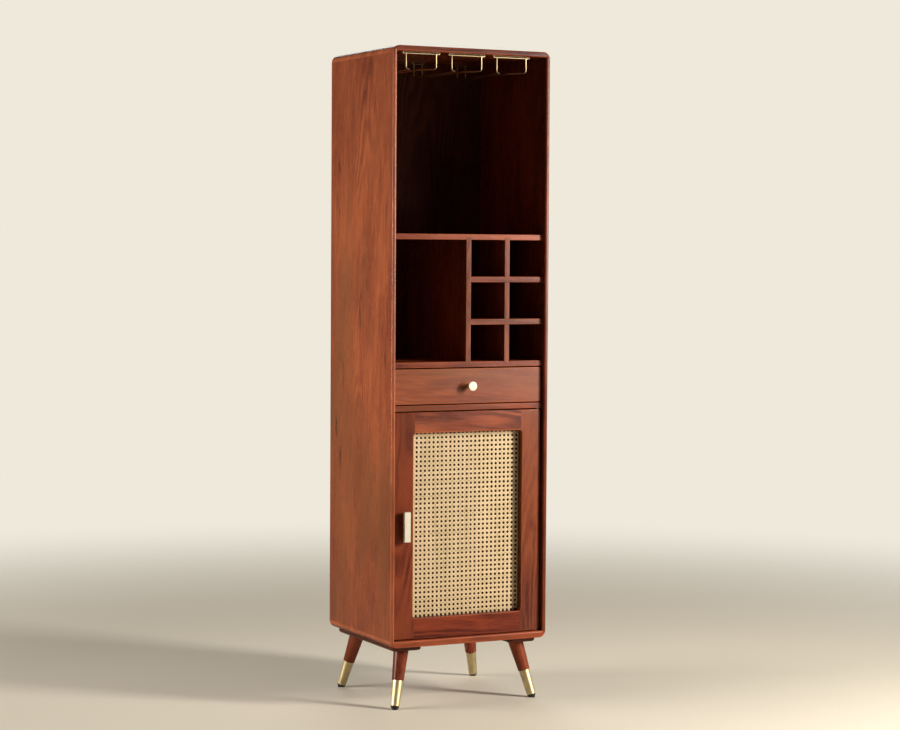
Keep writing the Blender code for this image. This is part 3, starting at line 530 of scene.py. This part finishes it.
# %% [markdown]
# ## Turned work
#
# Knob, legs, ferrules and glides all come off a lathe. Each is a profile, given as radius and
# height from top to bottom, and spun round its own axis. The spun mesh is then laid along the
# leg, so that the finished object needs no turn of its own. A spun surface can come out
# inside out. Its volume is then negative, and the helper turns it the right way round.

# %% Helper for turned pieces
lathe_steps = 64


def turned(name, profile, matrix, closed=False, trim=None, smooth_angle=35):
    """Spin a profile round Z, lay it with a matrix, and cut away what lies past a plane."""
    bm = bmesh.new()
    points = [bm.verts.new((radius, 0, height)) for radius, height in profile]
    edges = [bm.edges.new(pair) for pair in zip(points, points[1:])]
    if closed:
        edges.append(bm.edges.new((points[-1], points[0])))
    bmesh.ops.spin(bm, geom=points + edges, cent=(0, 0, 0), axis=(0, 0, 1), angle=math.tau,
                   steps=lathe_steps, use_merge=True)
    bmesh.ops.remove_doubles(bm, verts=bm.verts, dist=weld_distance)
    bmesh.ops.dissolve_degenerate(bm, edges=bm.edges, dist=weld_distance)
    bm.transform(matrix)
    if trim is not None:
        point, normal = trim
        bmesh.ops.bisect_plane(bm, geom=bm.verts[:] + bm.edges[:] + bm.faces[:], plane_co=point,
                               plane_no=normal, clear_outer=True)
        bmesh.ops.remove_doubles(bm, verts=bm.verts, dist=weld_distance)
        rim = [edge for edge in bm.edges if edge.is_boundary]
        bmesh.ops.triangle_fill(bm, edges=rim, use_beauty=True)
    bmesh.ops.recalc_face_normals(bm, faces=bm.faces)
    if bm.calc_volume(signed=True) < 0:
        bmesh.ops.reverse_faces(bm, faces=bm.faces)
    return soften(mesh_of(bm, name), name, smooth_angle)


def quarter(centre_radius, centre_height, radius, start, end, steps=6):
    """Points of a rounding, as radius and height, between two angles in degrees."""
    points = []
    for step in range(steps + 1):
        angle = math.radians(start + (end - start) * step / steps)
        points.append((centre_radius + radius * math.cos(angle), centre_height + radius * math.sin(angle)))
    return points


# %% [markdown]
# ## The knob
#
# A disc-shaped knob on a short neck. Its face is flat with a small rounded edge, so it takes
# the light evenly.

# %% Turn the knob
fit = 0.0003
knob_low, knob_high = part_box("drawer_knob")
knob_radius = (knob_high.x - knob_low.x) / 2
knob_length = knob_high.y - knob_low.y
knob_neck_radius = 0.0060
knob_flare = 0.0015
knob_edge = 0.0016
knob_crown = 0.0003
knob_bore_radius = 0.0022
knob_bore_depth = 0.0110
knob_profile = [(0, knob_length)]
knob_profile += quarter(knob_radius - knob_edge, knob_length - knob_crown - knob_edge, knob_edge, 88, -60)
knob_profile += [(knob_neck_radius + knob_flare, knob_length * 0.5), (knob_neck_radius, knob_length * 0.4),
                 (knob_neck_radius, knob_length * 0.1), (knob_neck_radius + knob_flare, 0),
                 (knob_bore_radius, 0), (knob_bore_radius, knob_bore_depth), (0, knob_bore_depth)]
knob_centre = Vector(((knob_low.x + knob_high.x) / 2, knob_high.y, (knob_low.z + knob_high.z) / 2))
to_front = Matrix.Translation(knob_centre) @ Matrix.Rotation(math.radians(90), 4, "X")
put("knob_turned", turned("knob_turned", knob_profile, to_front), pale_brass, "drawer", "drawer_knob",
    slot="brass")
print("knob:", round(knob_radius * 2000, 1), "mm across")

# %% [markdown]
# ## Moulded plastic
#
# The glides and the catch are black moulded plastic, with the faint pebbling of a mould.

# %% Make moulded plastic
def moulded_plastic(name, colour):
    material, tree, shader, place = start_material(name)
    pebble = noise(tree, place, 1800.0, 2.0, 1.0)
    wear = noise(tree, place, 90.0, 3.0, 2.0)
    scuffed = blend_colours(tree, remap(tree, wear, 0.4, 0.8), shade(colour, 1.0), shade(colour, 2.4))
    fill_in(tree, shader, {"Base Color": scuffed, "Roughness": remap(tree, wear, 0.3, 0.8, 0.42, 0.62)})
    bump(tree, shader, pebble, 0.00005, 0.4)
    return material


black_plastic = moulded_plastic("black_moulding", (0.014, 0.009, 0.007))
print("plastic:", black_plastic.name)

# %% [markdown]
# ## Legs, ferrules and glides
#
# All four legs splay outwards on one slanting axis each. The wood tapers down into a brass
# ferrule that is a little slimmer than the leg, and a black glide fills the ferrule's end.
# The leg is cut level under a dark batten, which runs from front to back beneath the bottom
# panel and carries the two legs of one side, and the glide is cut level on the floor.

# %% Turn the legs
batten_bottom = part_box("leg_batten_left")[0].z
leg_splay = 0.036
leg_top_radius = 0.0209
leg_shoulder_radius = 0.0162
ferrule_top = 0.0784
ferrule_bottom = 0.0088
ferrule_top_radius = 0.0146
ferrule_bottom_radius = 0.0120
ferrule_wall = 0.0013
spigot_end = 0.0240
glide_foot_radius = 0.0078
glide_plug_length = 0.0100
lip = 0.0006
shoulder_round = 0.0012
bolt_hole_radius = 0.0043
bolt_in_leg = 0.0303
leg_look = {"stain_and_shade": 0.80, "warmth": 1.0, "marks": 0.5, "coat": 0.08}


def ferrule_radius(along):
    share = (along - ferrule_bottom) / (ferrule_top - ferrule_bottom)
    return ferrule_bottom_radius + share * (ferrule_top_radius - ferrule_bottom_radius)


def leg_profile(length):
    shoulder = ferrule_top + fit
    growth = (leg_top_radius - leg_shoulder_radius) / (length - shoulder)
    over = 0.02
    inside = ferrule_wall + fit
    profile = [(bolt_hole_radius, length - bolt_in_leg), (bolt_hole_radius, length + over),
               (leg_top_radius + growth * over, length + over)]
    profile += quarter(leg_shoulder_radius - shoulder_round, shoulder + shoulder_round, shoulder_round,
                       0, -90)
    profile += [(ferrule_radius(ferrule_top) - inside, shoulder),
                (ferrule_radius(spigot_end) - inside, spigot_end), (0, spigot_end)]
    return [(0, length - bolt_in_leg)] + profile


def ferrule_profile():
    outside = quarter(ferrule_top_radius - lip, ferrule_top - lip, lip, 90, 0)
    outside += quarter(ferrule_bottom_radius - lip, ferrule_bottom + lip, lip, 0, -90)
    return outside + [(ferrule_bottom_radius - ferrule_wall, ferrule_bottom),
                      (ferrule_top_radius - ferrule_wall, ferrule_top)]


def glide_profile():
    shoulder = ferrule_bottom - fit
    plug = ferrule_bottom_radius - ferrule_wall - fit
    top = ferrule_bottom + glide_plug_length
    rim = quarter(ferrule_bottom_radius - lip, shoulder - lip, lip, 90, 0)
    return ([(0, top), (plug, top), (plug, shoulder)] + rim
            + [(glide_foot_radius, 0), (glide_foot_radius, -glide_foot_radius), (0, -glide_foot_radius)])


# %% Put the legs in place
foot_mounts = {mount["name"][5:]: Vector(mount["pos_m"]) for mount in frame["record"]["mounts"]
               if mount["name"].startswith("foot_")}
leg_seeds = {"front_left": 41.0, "front_right": 42.0, "back_left": 43.0, "back_right": 44.0}
for corner, foot in foot_mounts.items():
    run = Vector((-math.copysign(leg_splay, foot.x), -math.copysign(leg_splay, foot.y), batten_bottom))
    lay = Matrix.Translation(foot) @ run.to_track_quat("Z", "X").to_matrix().to_4x4()
    level = Vector((0, 0, batten_bottom - fit))
    leg_wood = lacquered_hardwood(f"leg_{corner}", "Z", leg_seeds[corner], **leg_look)
    put(f"leg_{corner}_turned",
        turned(f"leg_{corner}_turned", leg_profile(run.length), lay, trim=(level, (0, 0, 1))),
        leg_wood, "carcass", f"leg_{corner}", slot="hardwood")
    put(f"ferrule_{corner}_turned", turned(f"ferrule_{corner}_turned", ferrule_profile(), lay, closed=True),
        ferrule_brass, "carcass", f"ferrule_{corner}", slot="brass")
    put(f"glide_{corner}_turned",
        turned(f"glide_{corner}_turned", glide_profile(), lay, trim=((0, 0, 0), (0, 0, -1))),
        black_plastic, "carcass", f"glide_{corner}", slot="black_plastic")
print("legs:", ", ".join(foot_mounts))

# %% Dress the battens that carry them
batten_seeds = {"leg_batten_left": 51.0, "leg_batten_right": 52.0}
batten_look = {"stain_and_shade": 0.27, "warmth": 1.0, "marks": 0.3}
for node, seed in batten_seeds.items():
    dress_board(node, lacquered_hardwood(node, "Y", seed, **batten_look), slot="dark_hardwood")
print("battens:", ", ".join(batten_seeds))

# %% [markdown]
# ## The door handle
#
# A solid brass bar stands off the door on two short posts. A bevel rounds its edges, and
# Boolean unions join the posts, so that the handle is one closed body. Where two surfaces only
# just touch, a union can leave a slit of no width, so any such slit is closed afterwards.

# %% Build the handle
handle_low, handle_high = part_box("door_handle")
bar_thickness = 0.012
bar_round = 0.0012
post_radius = 0.0042
post_inset = 0.012


def bevelled_box(name, low, high, radius, segments=4):
    bm = bmesh.new()
    bmesh.ops.create_cube(bm, size=1.0)
    bmesh.ops.scale(bm, vec=high - low, verts=bm.verts)
    bmesh.ops.translate(bm, vec=(low + high) / 2, verts=bm.verts)
    bmesh.ops.bevel(bm, geom=bm.edges[:], offset=radius, offset_type="OFFSET", segments=segments,
                    profile=0.5, affect="EDGES")
    return mesh_of(bm, name)


def join_solids(name, first, others):
    """One closed mesh from overlapping closed meshes."""
    whole = add_object(name, first)
    tools = [add_object(f"{name}_{number}", mesh) for number, mesh in enumerate(others)]
    for tool in tools:
        union = whole.modifiers.new("join", "BOOLEAN")
        union.operation = "UNION"
        union.solver = "EXACT"
        union.object = tool
    mesh = finished_mesh(whole, name)
    for tool in tools:
        bpy.data.objects.remove(tool, do_unlink=True)
    bm = bmesh.new()
    bm.from_mesh(mesh)
    bmesh.ops.holes_fill(bm, edges=[edge for edge in bm.edges if edge.is_boundary], sides=0)
    bm.to_mesh(mesh)
    bm.free()
    return mesh


bar_high = Vector((handle_high.x, handle_low.y + bar_thickness, handle_high.z))
posts = []
for post_z in (handle_low.z + post_inset, handle_high.z - post_inset):
    foot = Vector(((handle_low.x + handle_high.x) / 2, handle_high.y, post_z))
    reach = handle_high.y - handle_low.y - bar_thickness / 2
    lay = Matrix.Translation(foot) @ Matrix.Rotation(math.radians(90), 4, "X")
    posts.append(turned("post", [(0, reach), (post_radius, reach), (post_radius, 0), (0, 0)], lay))
handle_mesh = join_solids("handle_bar", bevelled_box("handle_bar", handle_low, bar_high, bar_round), posts)
put("handle_bar", soften(handle_mesh, "handle_bar"), pale_brass, "door", "door_handle", slot="brass")
print("handle:", [round(side * 1000, 1) for side in handle_high - handle_low], "mm")

# %% [markdown]
# ## Stemware racks of bent wire
#
# Each rack is brass wire: two rails that flare out towards the front, so that the foot of a
# glass finds its way in, and two bars whose ends turn up into the top panel. A wire follows
# a path, which suits Geometry Nodes: the tree takes a bare polyline, rounds its corners with
# Fillet Curve, and sweeps a circle along it. Every wire uses the same tree with its own path.

# %% Build the bent wire tree
def new_geometry_tree(name, inputs):
    tree = bpy.data.node_groups.new(name, "GeometryNodeTree")
    tree.interface.new_socket(name="Geometry", in_out="OUTPUT", socket_type="NodeSocketGeometry")
    tree.interface.new_socket(name="Geometry", in_out="INPUT", socket_type="NodeSocketGeometry")
    for socket, kind in inputs.items():
        tree.interface.new_socket(name=socket, in_out="INPUT", socket_type="NodeSocket" + kind)
    return tree, tree.nodes.new("NodeGroupInput").outputs, tree.nodes.new("NodeGroupOutput").inputs


def geometry_inputs(modifier, values):
    """Set a modifier's inputs by the identifiers of its tree's sockets."""
    for item in modifier.node_group.interface.items_tree:
        if item.item_type == "SOCKET" and item.in_out == "INPUT" and item.name in values:
            modifier[item.identifier] = values[item.name]


def build_bent_wire_tree():
    tree, given, result = new_geometry_tree(
        "bent_wire", {"Bend Radius": "Float", "Wire Radius": "Float", "Sides": "Int", "Metal": "Material"})
    path = add_node(tree, "GeometryNodeMeshToCurve", {"Mesh": given["Geometry"]})
    rounded = add_node(tree, "GeometryNodeFilletCurve",
                       {"Curve": path.outputs["Curve"], "Radius": given["Bend Radius"], "Count": 7,
                        "Limit Radius": True}, mode="POLY")
    ring = add_node(tree, "GeometryNodeCurvePrimitiveCircle",
                    {"Radius": given["Wire Radius"], "Resolution": given["Sides"]})
    sweep = add_node(tree, "GeometryNodeCurveToMesh",
                     {"Curve": rounded.outputs["Curve"], "Profile Curve": ring.outputs["Curve"],
                      "Fill Caps": True})
    real = add_node(tree, "GeometryNodeRealizeInstances", {"Geometry": sweep.outputs["Mesh"]})
    metal_set = add_node(tree, "GeometryNodeSetMaterial",
                         {"Geometry": real.outputs["Geometry"], "Material": given["Metal"]})
    tree.links.new(metal_set.outputs["Geometry"], result["Geometry"])
    return tree


bent_wire = build_bent_wire_tree()
print("wire tree:", len(bent_wire.nodes), "nodes")


def grow(name, start_mesh, tree, values):
    """Run a Geometry Nodes tree on a mesh and keep the plain result."""
    thing = add_object(name, start_mesh)
    modifier = thing.modifiers.new(tree.name, "NODES")
    modifier.node_group = tree
    geometry_inputs(modifier, values)
    return finished_mesh(thing, name)


def wire(name, corners, bend):
    path = bpy.data.meshes.new(name + "_path")
    path.from_pydata([tuple(corner) for corner in corners],
                     [(number, number + 1) for number in range(len(corners) - 1)], [])
    mesh = grow(name, path, bent_wire,
                {"Bend Radius": bend, "Wire Radius": wire_radius, "Sides": wire_sides, "Metal": wire_brass})
    bm = bmesh.new()
    bm.from_mesh(mesh)
    bmesh.ops.remove_doubles(bm, verts=bm.verts, dist=weld_distance)
    bmesh.ops.recalc_face_normals(bm, faces=bm.faces)
    bm.to_mesh(mesh)
    bm.free()
    return mesh


# %% Bend and weld the racks
wire_radius = 0.0020
wire_sides = 14
rail_bend = 0.007
bar_bend = 0.0026
gate = 0.090
channel = 0.026
front_bar = 0.114
rear_bar = 0.043
flare_run = 0.045
rack_nodes = sorted(node for node in frame["nodes"] if node.startswith("stemware_rack_"))
for node in rack_nodes:
    low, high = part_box(node)
    centre = (low.x + high.x) / 2
    front_y = low.y + wire_radius
    rear_y = high.y - wire_radius
    level = low.z + wire_radius
    pin_top = high.z
    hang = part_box("top_panel")[0].z - fit - wire_radius
    solids = []
    for side in (-1, 1):
        solids.append(wire(f"{node}_rail", [
            (centre + side * gate / 2, front_y, hang), (centre + side * gate / 2, front_y, level),
            (centre + side * channel / 2, front_y + flare_run, level),
            (centre + side * channel / 2, rear_y, level),
            (centre + side * channel / 2, rear_y, hang)], rail_bend))
    for span, y in ((front_bar, front_y), (rear_bar, rear_y)):
        half = span / 2 - wire_radius
        solids.append(wire(f"{node}_bar", [(centre - half, y, pin_top), (centre - half, y, hang),
                                           (centre + half, y, hang), (centre + half, y, pin_top)], bar_bend))
    mesh = join_solids(node + "_bent", solids[0], solids[1:])
    put(node + "_bent", soften(mesh, node + "_bent", 50), wire_brass, "carcass", node, slot="brass")
print("racks:", len(rack_nodes))

# %% [markdown]
# ## Woven cane
#
# Cane webbing is woven from flat strands of rattan peel. Pairs of strands run up and across,
# half an inch from pair to pair. Two sets of single strands run at 45 degrees between them
# and cut the corners off the square gaps, so that eight-sided holes stay open. One tree lays
# a whole family of parallel strands: it sets out straight lines, lifts and lowers them with
# a wave so that they pass over and under each other, trims them to the panel and sweeps a
# flat section along each. Four runs of it make the web. A strand is a hair narrower than the
# step to its pair's other strand, so that the two lie side by side and don't touch.

# %% Build the strand tree
def build_strand_tree():
    tree, given, result = new_geometry_tree("cane_strands", {
        "Width": "Float", "Height": "Float", "Pitch": "Float", "Spacing": "Float", "Shift": "Float",
        "Lines": "Int", "Bundle": "Int", "Bundle Gap": "Float", "Turn": "Float", "Steps": "Int",
        "Strand Width": "Float", "Strand Thickness": "Float", "Crossing Lift": "Float",
        "Slant Lift": "Float", "Cane": "Material"})
    plus, minus, times, over = arithmetic(tree)
    reach = plus(given["Width"], given["Height"])
    line = add_node(tree, "GeometryNodeCurvePrimitiveLine",
                    {"Start": vector(tree, Z=times(reach, -0.5)), "End": vector(tree, Z=times(reach, 0.5))})
    divided = add_node(tree, "GeometryNodeResampleCurve",
                       {"Curve": line.outputs["Curve"], "Count": given["Steps"]})
    row = add_node(tree, "GeometryNodeMeshLine", {"Count": given["Lines"]})
    number = add_node(tree, "GeometryNodeInputIndex").outputs[0]
    group = calculate(tree, "FLOOR", over(number, given["Bundle"]))
    within = minus(number, times(group, given["Bundle"]))
    half_row = over(over(given["Lines"], given["Bundle"]), 2.0)
    half_bundle = times(minus(given["Bundle"], 1.0), 0.5)
    across = plus(times(minus(group, half_row), given["Spacing"]),
                  times(minus(within, half_bundle), given["Bundle Gap"]))
    spread = vector(tree, X=plus(across, given["Shift"]))
    placed = add_node(tree, "GeometryNodeSetPosition", {"Geometry": row.outputs["Mesh"], "Position": spread})
    copies = add_node(tree, "GeometryNodeInstanceOnPoints",
                      {"Points": placed.outputs["Geometry"], "Instance": divided.outputs["Curve"]})
    real = add_node(tree, "GeometryNodeRealizeInstances", {"Geometry": copies.outputs["Instances"]})
    turned_lines = add_node(tree, "GeometryNodeTransform",
                            {"Geometry": real.outputs["Geometry"], "Rotation": vector(tree, Y=given["Turn"])})
    place = add_node(tree, "ShaderNodeSeparateXYZ",
                     {0: add_node(tree, "GeometryNodeInputPosition").outputs[0]}).outputs

    def wave(axis, turn):
        """A cosine along one axis, by the part of a circle that it turns in one pitch."""
        return calculate(tree, "COSINE", times(over(place[axis], given["Pitch"]), turn))

    def past(axis, size):
        """Whether a point lies beyond the panel along one axis."""
        distance = calculate(tree, "ABSOLUTE", place[axis])
        return calculate(tree, "GREATER_THAN", distance, times(given[size], 0.5))

    crossing = times(times(wave(0, math.pi), wave(2, math.pi)), given["Crossing Lift"])
    lift = plus(crossing, times(wave(0, math.tau), given["Slant Lift"]))
    woven = add_node(tree, "GeometryNodeSetPosition",
                     {"Geometry": turned_lines.outputs["Geometry"], "Offset": vector(tree, Y=lift)})
    outside = calculate(tree, "MAXIMUM", past(0, "Width"), past(2, "Height"))
    trimmed = add_node(tree, "GeometryNodeDeleteGeometry",
                       {"Geometry": woven.outputs["Geometry"], "Selection": outside}, domain="POINT")
    facing = add_node(tree, "GeometryNodeSetCurveNormal",
                      {"Curve": trimmed.outputs["Geometry"], "Normal": (0, -1, 0)}, mode="FREE")
    section = add_node(tree, "GeometryNodeCurvePrimitiveCircle", {"Radius": 0.5, "Resolution": 6})
    on_flat = add_node(tree, "GeometryNodeTransform",
                       {"Geometry": section.outputs["Curve"], "Rotation": (0.0, 0.0, math.radians(30))})
    breadth = vector(tree, X=given["Strand Thickness"], Y=given["Strand Width"], Z=1.0)
    flat = add_node(tree, "GeometryNodeTransform",
                    {"Geometry": on_flat.outputs["Geometry"], "Scale": breadth})
    sweep = add_node(tree, "GeometryNodeCurveToMesh",
                     {"Curve": facing.outputs["Curve"], "Profile Curve": flat.outputs["Geometry"],
                      "Fill Caps": True})
    again = add_node(tree, "GeometryNodeRealizeInstances", {"Geometry": sweep.outputs["Mesh"]})
    cane_set = add_node(tree, "GeometryNodeSetMaterial",
                        {"Geometry": again.outputs["Geometry"], "Material": given["Cane"]})
    tree.links.new(cane_set.outputs["Geometry"], result["Geometry"])
    return tree


cane_strands = build_strand_tree()
print("strand tree:", len(cane_strands.nodes), "nodes")

# %% [markdown]
# ## Cane
#
# Rattan peel is straw-coloured and slightly glossy on its outer side. Each strand has its own
# tone, because the strands come from different stems, and fine lines run along it. Where two
# pairs of strands cross, the web is painted darker, a painted shade of the layers lying on each
# other, so the strands beside a hole stay paler. A group finds the crossings from the pitch.

# %% Build the crossing group
web_low, web_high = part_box("cane_panel")
web_width = web_high.x - web_low.x
web_height = web_high.z - web_low.z
web_centre = (web_low + web_high) / 2
pitch = 0.0127


def build_crossing_group():
    tree, given, result = new_group(
        "weave_crossings", {"Vector": ("Vector", None), "Turns": ("Float", 500.0)},
        {"Crossing": ("Float", None)})
    plus, _, times, _ = arithmetic(tree)
    parts = add_node(tree, "ShaderNodeSeparateXYZ", {0: given["Vector"]}).outputs
    wave_x = calculate(tree, "COSINE", times(parts[0], given["Turns"]))
    wave_z = calculate(tree, "COSINE", times(parts[2], given["Turns"]))
    tree.links.new(remap(tree, plus(wave_x, wave_z), -0.6, 1.9), result["Crossing"])
    return tree


weave_crossings = build_crossing_group()
print("panel:", round(web_width * 1000), "by", round(web_height * 1000), "mm")

# %% Make cane
straw_dark = (0.52, 0.365, 0.165, 1)
straw_pale = (0.80, 0.57, 0.335, 1)
straw_mottled = (0.40, 0.24, 0.10, 1)
# The colour of the painted shade at the crossings.
straw_crossing_shade = (0.37, 0.25, 0.10, 1)
mottled_share = 0.35
crossing_shade_share = 0.50


def cane(name, grain, seed):
    material, tree, shader, place = start_material(name)
    _, _, times, _ = arithmetic(tree)
    from_centre = add_node(tree, "ShaderNodeVectorMath", {0: place, 1: web_centre}, operation="SUBTRACT")
    crossings = add_node(tree, "ShaderNodeGroup",
                         {"Vector": from_centre.outputs[0], "Turns": math.tau / pitch},
                         node_tree=weave_crossings)
    turned_place = along_grain(tree, place, grain)
    strand_tone = streaks(tree, turned_place, 0.02, 160.0, 1.0, seed)
    mottling = noise(tree, turned_place, 220.0, 3.0, seed)
    lines = streaks(tree, turned_place, 0.02, 1800.0, 1.0, seed)
    colour = blend_colours(tree, remap(tree, strand_tone, 0.30, 0.70), straw_dark, straw_pale)
    mottled = times(remap(tree, mottling, 0.55, 0.80), mottled_share)
    colour = blend_colours(tree, mottled, colour, straw_mottled)
    # Painted shade: the web is darkened where pairs of strands cross.
    crossing_shade = times(crossings.outputs["Crossing"], crossing_shade_share)
    colour = blend_colours(tree, crossing_shade, colour, straw_crossing_shade)
    fill_in(tree, shader, {"Base Color": colour, "Roughness": remap(tree, mottling, 0.3, 0.7, 0.42, 0.58)})
    bump(tree, shader, lines, 0.00008, 0.5)
    return material


cane_upright = cane("cane_upright", "Z", 1.0)
cane_level = cane("cane_level", "X", 2.0)
cane_slant = cane("cane_slant", "Z", 3.0)
print("cane:", cane_upright.name, cane_level.name, cane_slant.name)

# %% Weave the panel
strand_width = 0.00278
pair_gap = 0.0028
slant_width = 0.0020
strand_thickness = 0.00042
slant_lift = 0.00050
crossing_lift = 0.00030
lines_across = 2 * math.ceil(web_width / pitch / 2) + 2
lines_up = 2 * math.ceil(web_height / pitch / 2) + 2
slant_spacing = pitch / math.sqrt(2)
lines_slant = 2 * math.ceil((web_width + web_height) / slant_spacing / 2)
points_per_pitch = 3
points_per_slant = 2
reach_steps = round((web_width + web_height) / pitch) * points_per_pitch
slant_steps = round((web_width + web_height) / slant_spacing) * points_per_slant
families = {
    "cane_strands_upright": {
        "Cane": cane_upright, "Spacing": pitch, "Shift": 0.0, "Lines": 2 * lines_across, "Bundle": 2,
        "Turn": 0.0, "Steps": reach_steps, "Strand Width": strand_width, "Crossing Lift": crossing_lift,
        "Slant Lift": 0.0},
    "cane_strands_level": {
        "Cane": cane_level, "Spacing": pitch, "Shift": 0.0, "Lines": 2 * lines_up, "Bundle": 2,
        "Turn": math.radians(90.0), "Steps": reach_steps, "Strand Width": strand_width,
        "Crossing Lift": -crossing_lift, "Slant Lift": 0.0},
}
for direction, turn, lift in (("rising", 45.0, -slant_lift), ("falling", -45.0, slant_lift)):
    families["cane_strands_" + direction] = {
        "Cane": cane_slant, "Spacing": slant_spacing, "Shift": slant_spacing / 2, "Lines": lines_slant,
        "Bundle": 1, "Turn": math.radians(turn), "Steps": slant_steps, "Strand Width": slant_width,
        "Crossing Lift": 0.0, "Slant Lift": lift}
shared = {"Width": web_width, "Height": web_height, "Pitch": pitch, "Bundle Gap": pair_gap,
          "Strand Thickness": strand_thickness}
strand_faces = 0
for name, sizes in families.items():
    mesh = grow(name, bpy.data.meshes.new(name + "_start"), cane_strands, {**shared, **sizes})
    mesh.transform(Matrix.Translation(web_centre))
    mesh.shade_smooth()
    mesh.set_sharp_from_angle(angle=math.radians(40))
    strand_faces += len(mesh.polygons)
    put(name, mesh, sizes["Cane"], "door", "cane_panel", slot="cane")
print("cane faces:", strand_faces)

# %% [markdown]
# ## Small fittings
#
# Screws, pins, bolts, the catch and its plate are small and mostly hidden. They keep their
# solids and only take a finish.

# %% Finish the small fittings
steel_nodes = ["knob_screw", "handle_screw_lower", "handle_screw_upper", "upper_pivot_pin",
               "lower_pivot_pin", "strike_plate"] + [f"leg_bolt_{corner}" for corner in foot_mounts]
for node in steel_nodes:
    finish_solid(node, zinc_steel)
finish_solid("magnetic_catch", black_plastic)
print("fittings:", len(steel_nodes) + 1)

# %% [markdown]
# ## Floor, background and light
#
# The cabinet stands on a plain pale floor. A soft box to the right of the camera is the main
# light: it throws the knob's and the handle's shadows to the left. Two soft panels on the
# left light the side and the floor, and one has a grid that gathers its light on the side's
# middle. A small dim panel on the right is only seen as a sheen on the drawer and the door's
# upper right, and one high at the back lifts the floor and the top. The pale surroundings fill
# the rest, only weakly, so that the compartments stay deep and dark.

# %% Floor and background
floor_dark = (0.645, 0.580, 0.470, 1)
floor_pale = (0.695, 0.630, 0.510, 1)
floor_radius = 4.4
fade_start = 1.2
fade_end = 4.2
mirrored_share = 0.5
surroundings = (1.0, 0.945, 0.82, 1.0)
surroundings_seen = 0.86
surroundings_lighting = 0.05


def plain_floor():
    """A pale disc under the cabinet that fades out into the pale background. The lacquer mirrors
    it at half strength, as it does when dark screens stand round a piece in a studio."""
    material, tree, shader, place = start_material("pale_floor")
    cloud = noise(tree, place, 1.2, 3.0, 1.0)
    away = add_node(tree, "ShaderNodeVectorMath", {0: place}, operation="LENGTH").outputs["Value"]
    mirrored = add_node(tree, "ShaderNodeLightPath").outputs["Is Glossy Ray"]
    shown = calculate(tree, "MULTIPLY", remap(tree, away, fade_start, fade_end, 1.0, 0.0),
                      remap(tree, mirrored, 0.0, 1.0, 1.0, mirrored_share))
    fill_in(tree, shader, {"Base Color": blend_colours(tree, cloud, floor_dark, floor_pale),
                           "Roughness": 0.6, "Alpha": shown})
    bm = bmesh.new()
    bmesh.ops.create_circle(bm, cap_ends=True, segments=96, radius=floor_radius)
    mesh = mesh_of(bm, "floor")
    mesh.materials.append(material)
    add_object("floor", mesh)


plain_floor()

world = bpy.data.worlds.new("studio")
world.use_nodes = True
bpy.context.scene.world = world
sky = world.node_tree
background = sky.nodes["Background"]
seen_directly = add_node(sky, "ShaderNodeLightPath").outputs["Is Camera Ray"]
fill_in(sky, background, {
    "Strength": remap(sky, seen_directly, 0.0, 1.0, surroundings_lighting, surroundings_seen),
    "Color": surroundings})
bpy.context.scene.view_settings.view_transform = "Standard"
print("floor:", 2 * floor_radius, "m across")

# %% Lights
def soft_box(name, place, aim, width, height, power, colour):
    light = bpy.data.lights.new(name, "AREA")
    light.shape = "RECTANGLE"
    light.size = width
    light.size_y = height
    light.energy = power
    light.color = colour
    thing = add_object(name, light)
    thing.location = place
    thing.rotation_euler = (Vector(aim) - Vector(place)).to_track_quat("-Z", "Y").to_euler()
    return thing


# Each call: name, place, aim, width, height, power in watts, colour.
soft_box("key_light", (2.15, -2.35, 1.60), (0.0, -0.2, 0.95), 0.6, 1.2, 165.0, (1.0, 0.97, 0.92))
soft_box("sheen_panel", (1.60, -2.50, 0.76), (0.2, -0.2, 0.8), 0.8, 0.3, 3.6, (1.0, 0.97, 0.94))
soft_box("fill_light", (-3.3, 0.7, 1.9), (-0.1, 0.0, 0.6), 2.0, 2.2, 78.0, (1.0, 0.97, 0.93))
side_light = soft_box("side_light", (-2.6, 0.5, 1.0), (-0.2, 0.0, 0.92), 1.6, 1.0, 8.5, (1.0, 0.98, 0.95))
side_light.data.spread = math.radians(62)
soft_box("back_light", (1.3, 2.9, 3.7), (0.2, 0.4, 0.6), 2.0, 2.0, 46.0, (1.0, 0.98, 0.95))
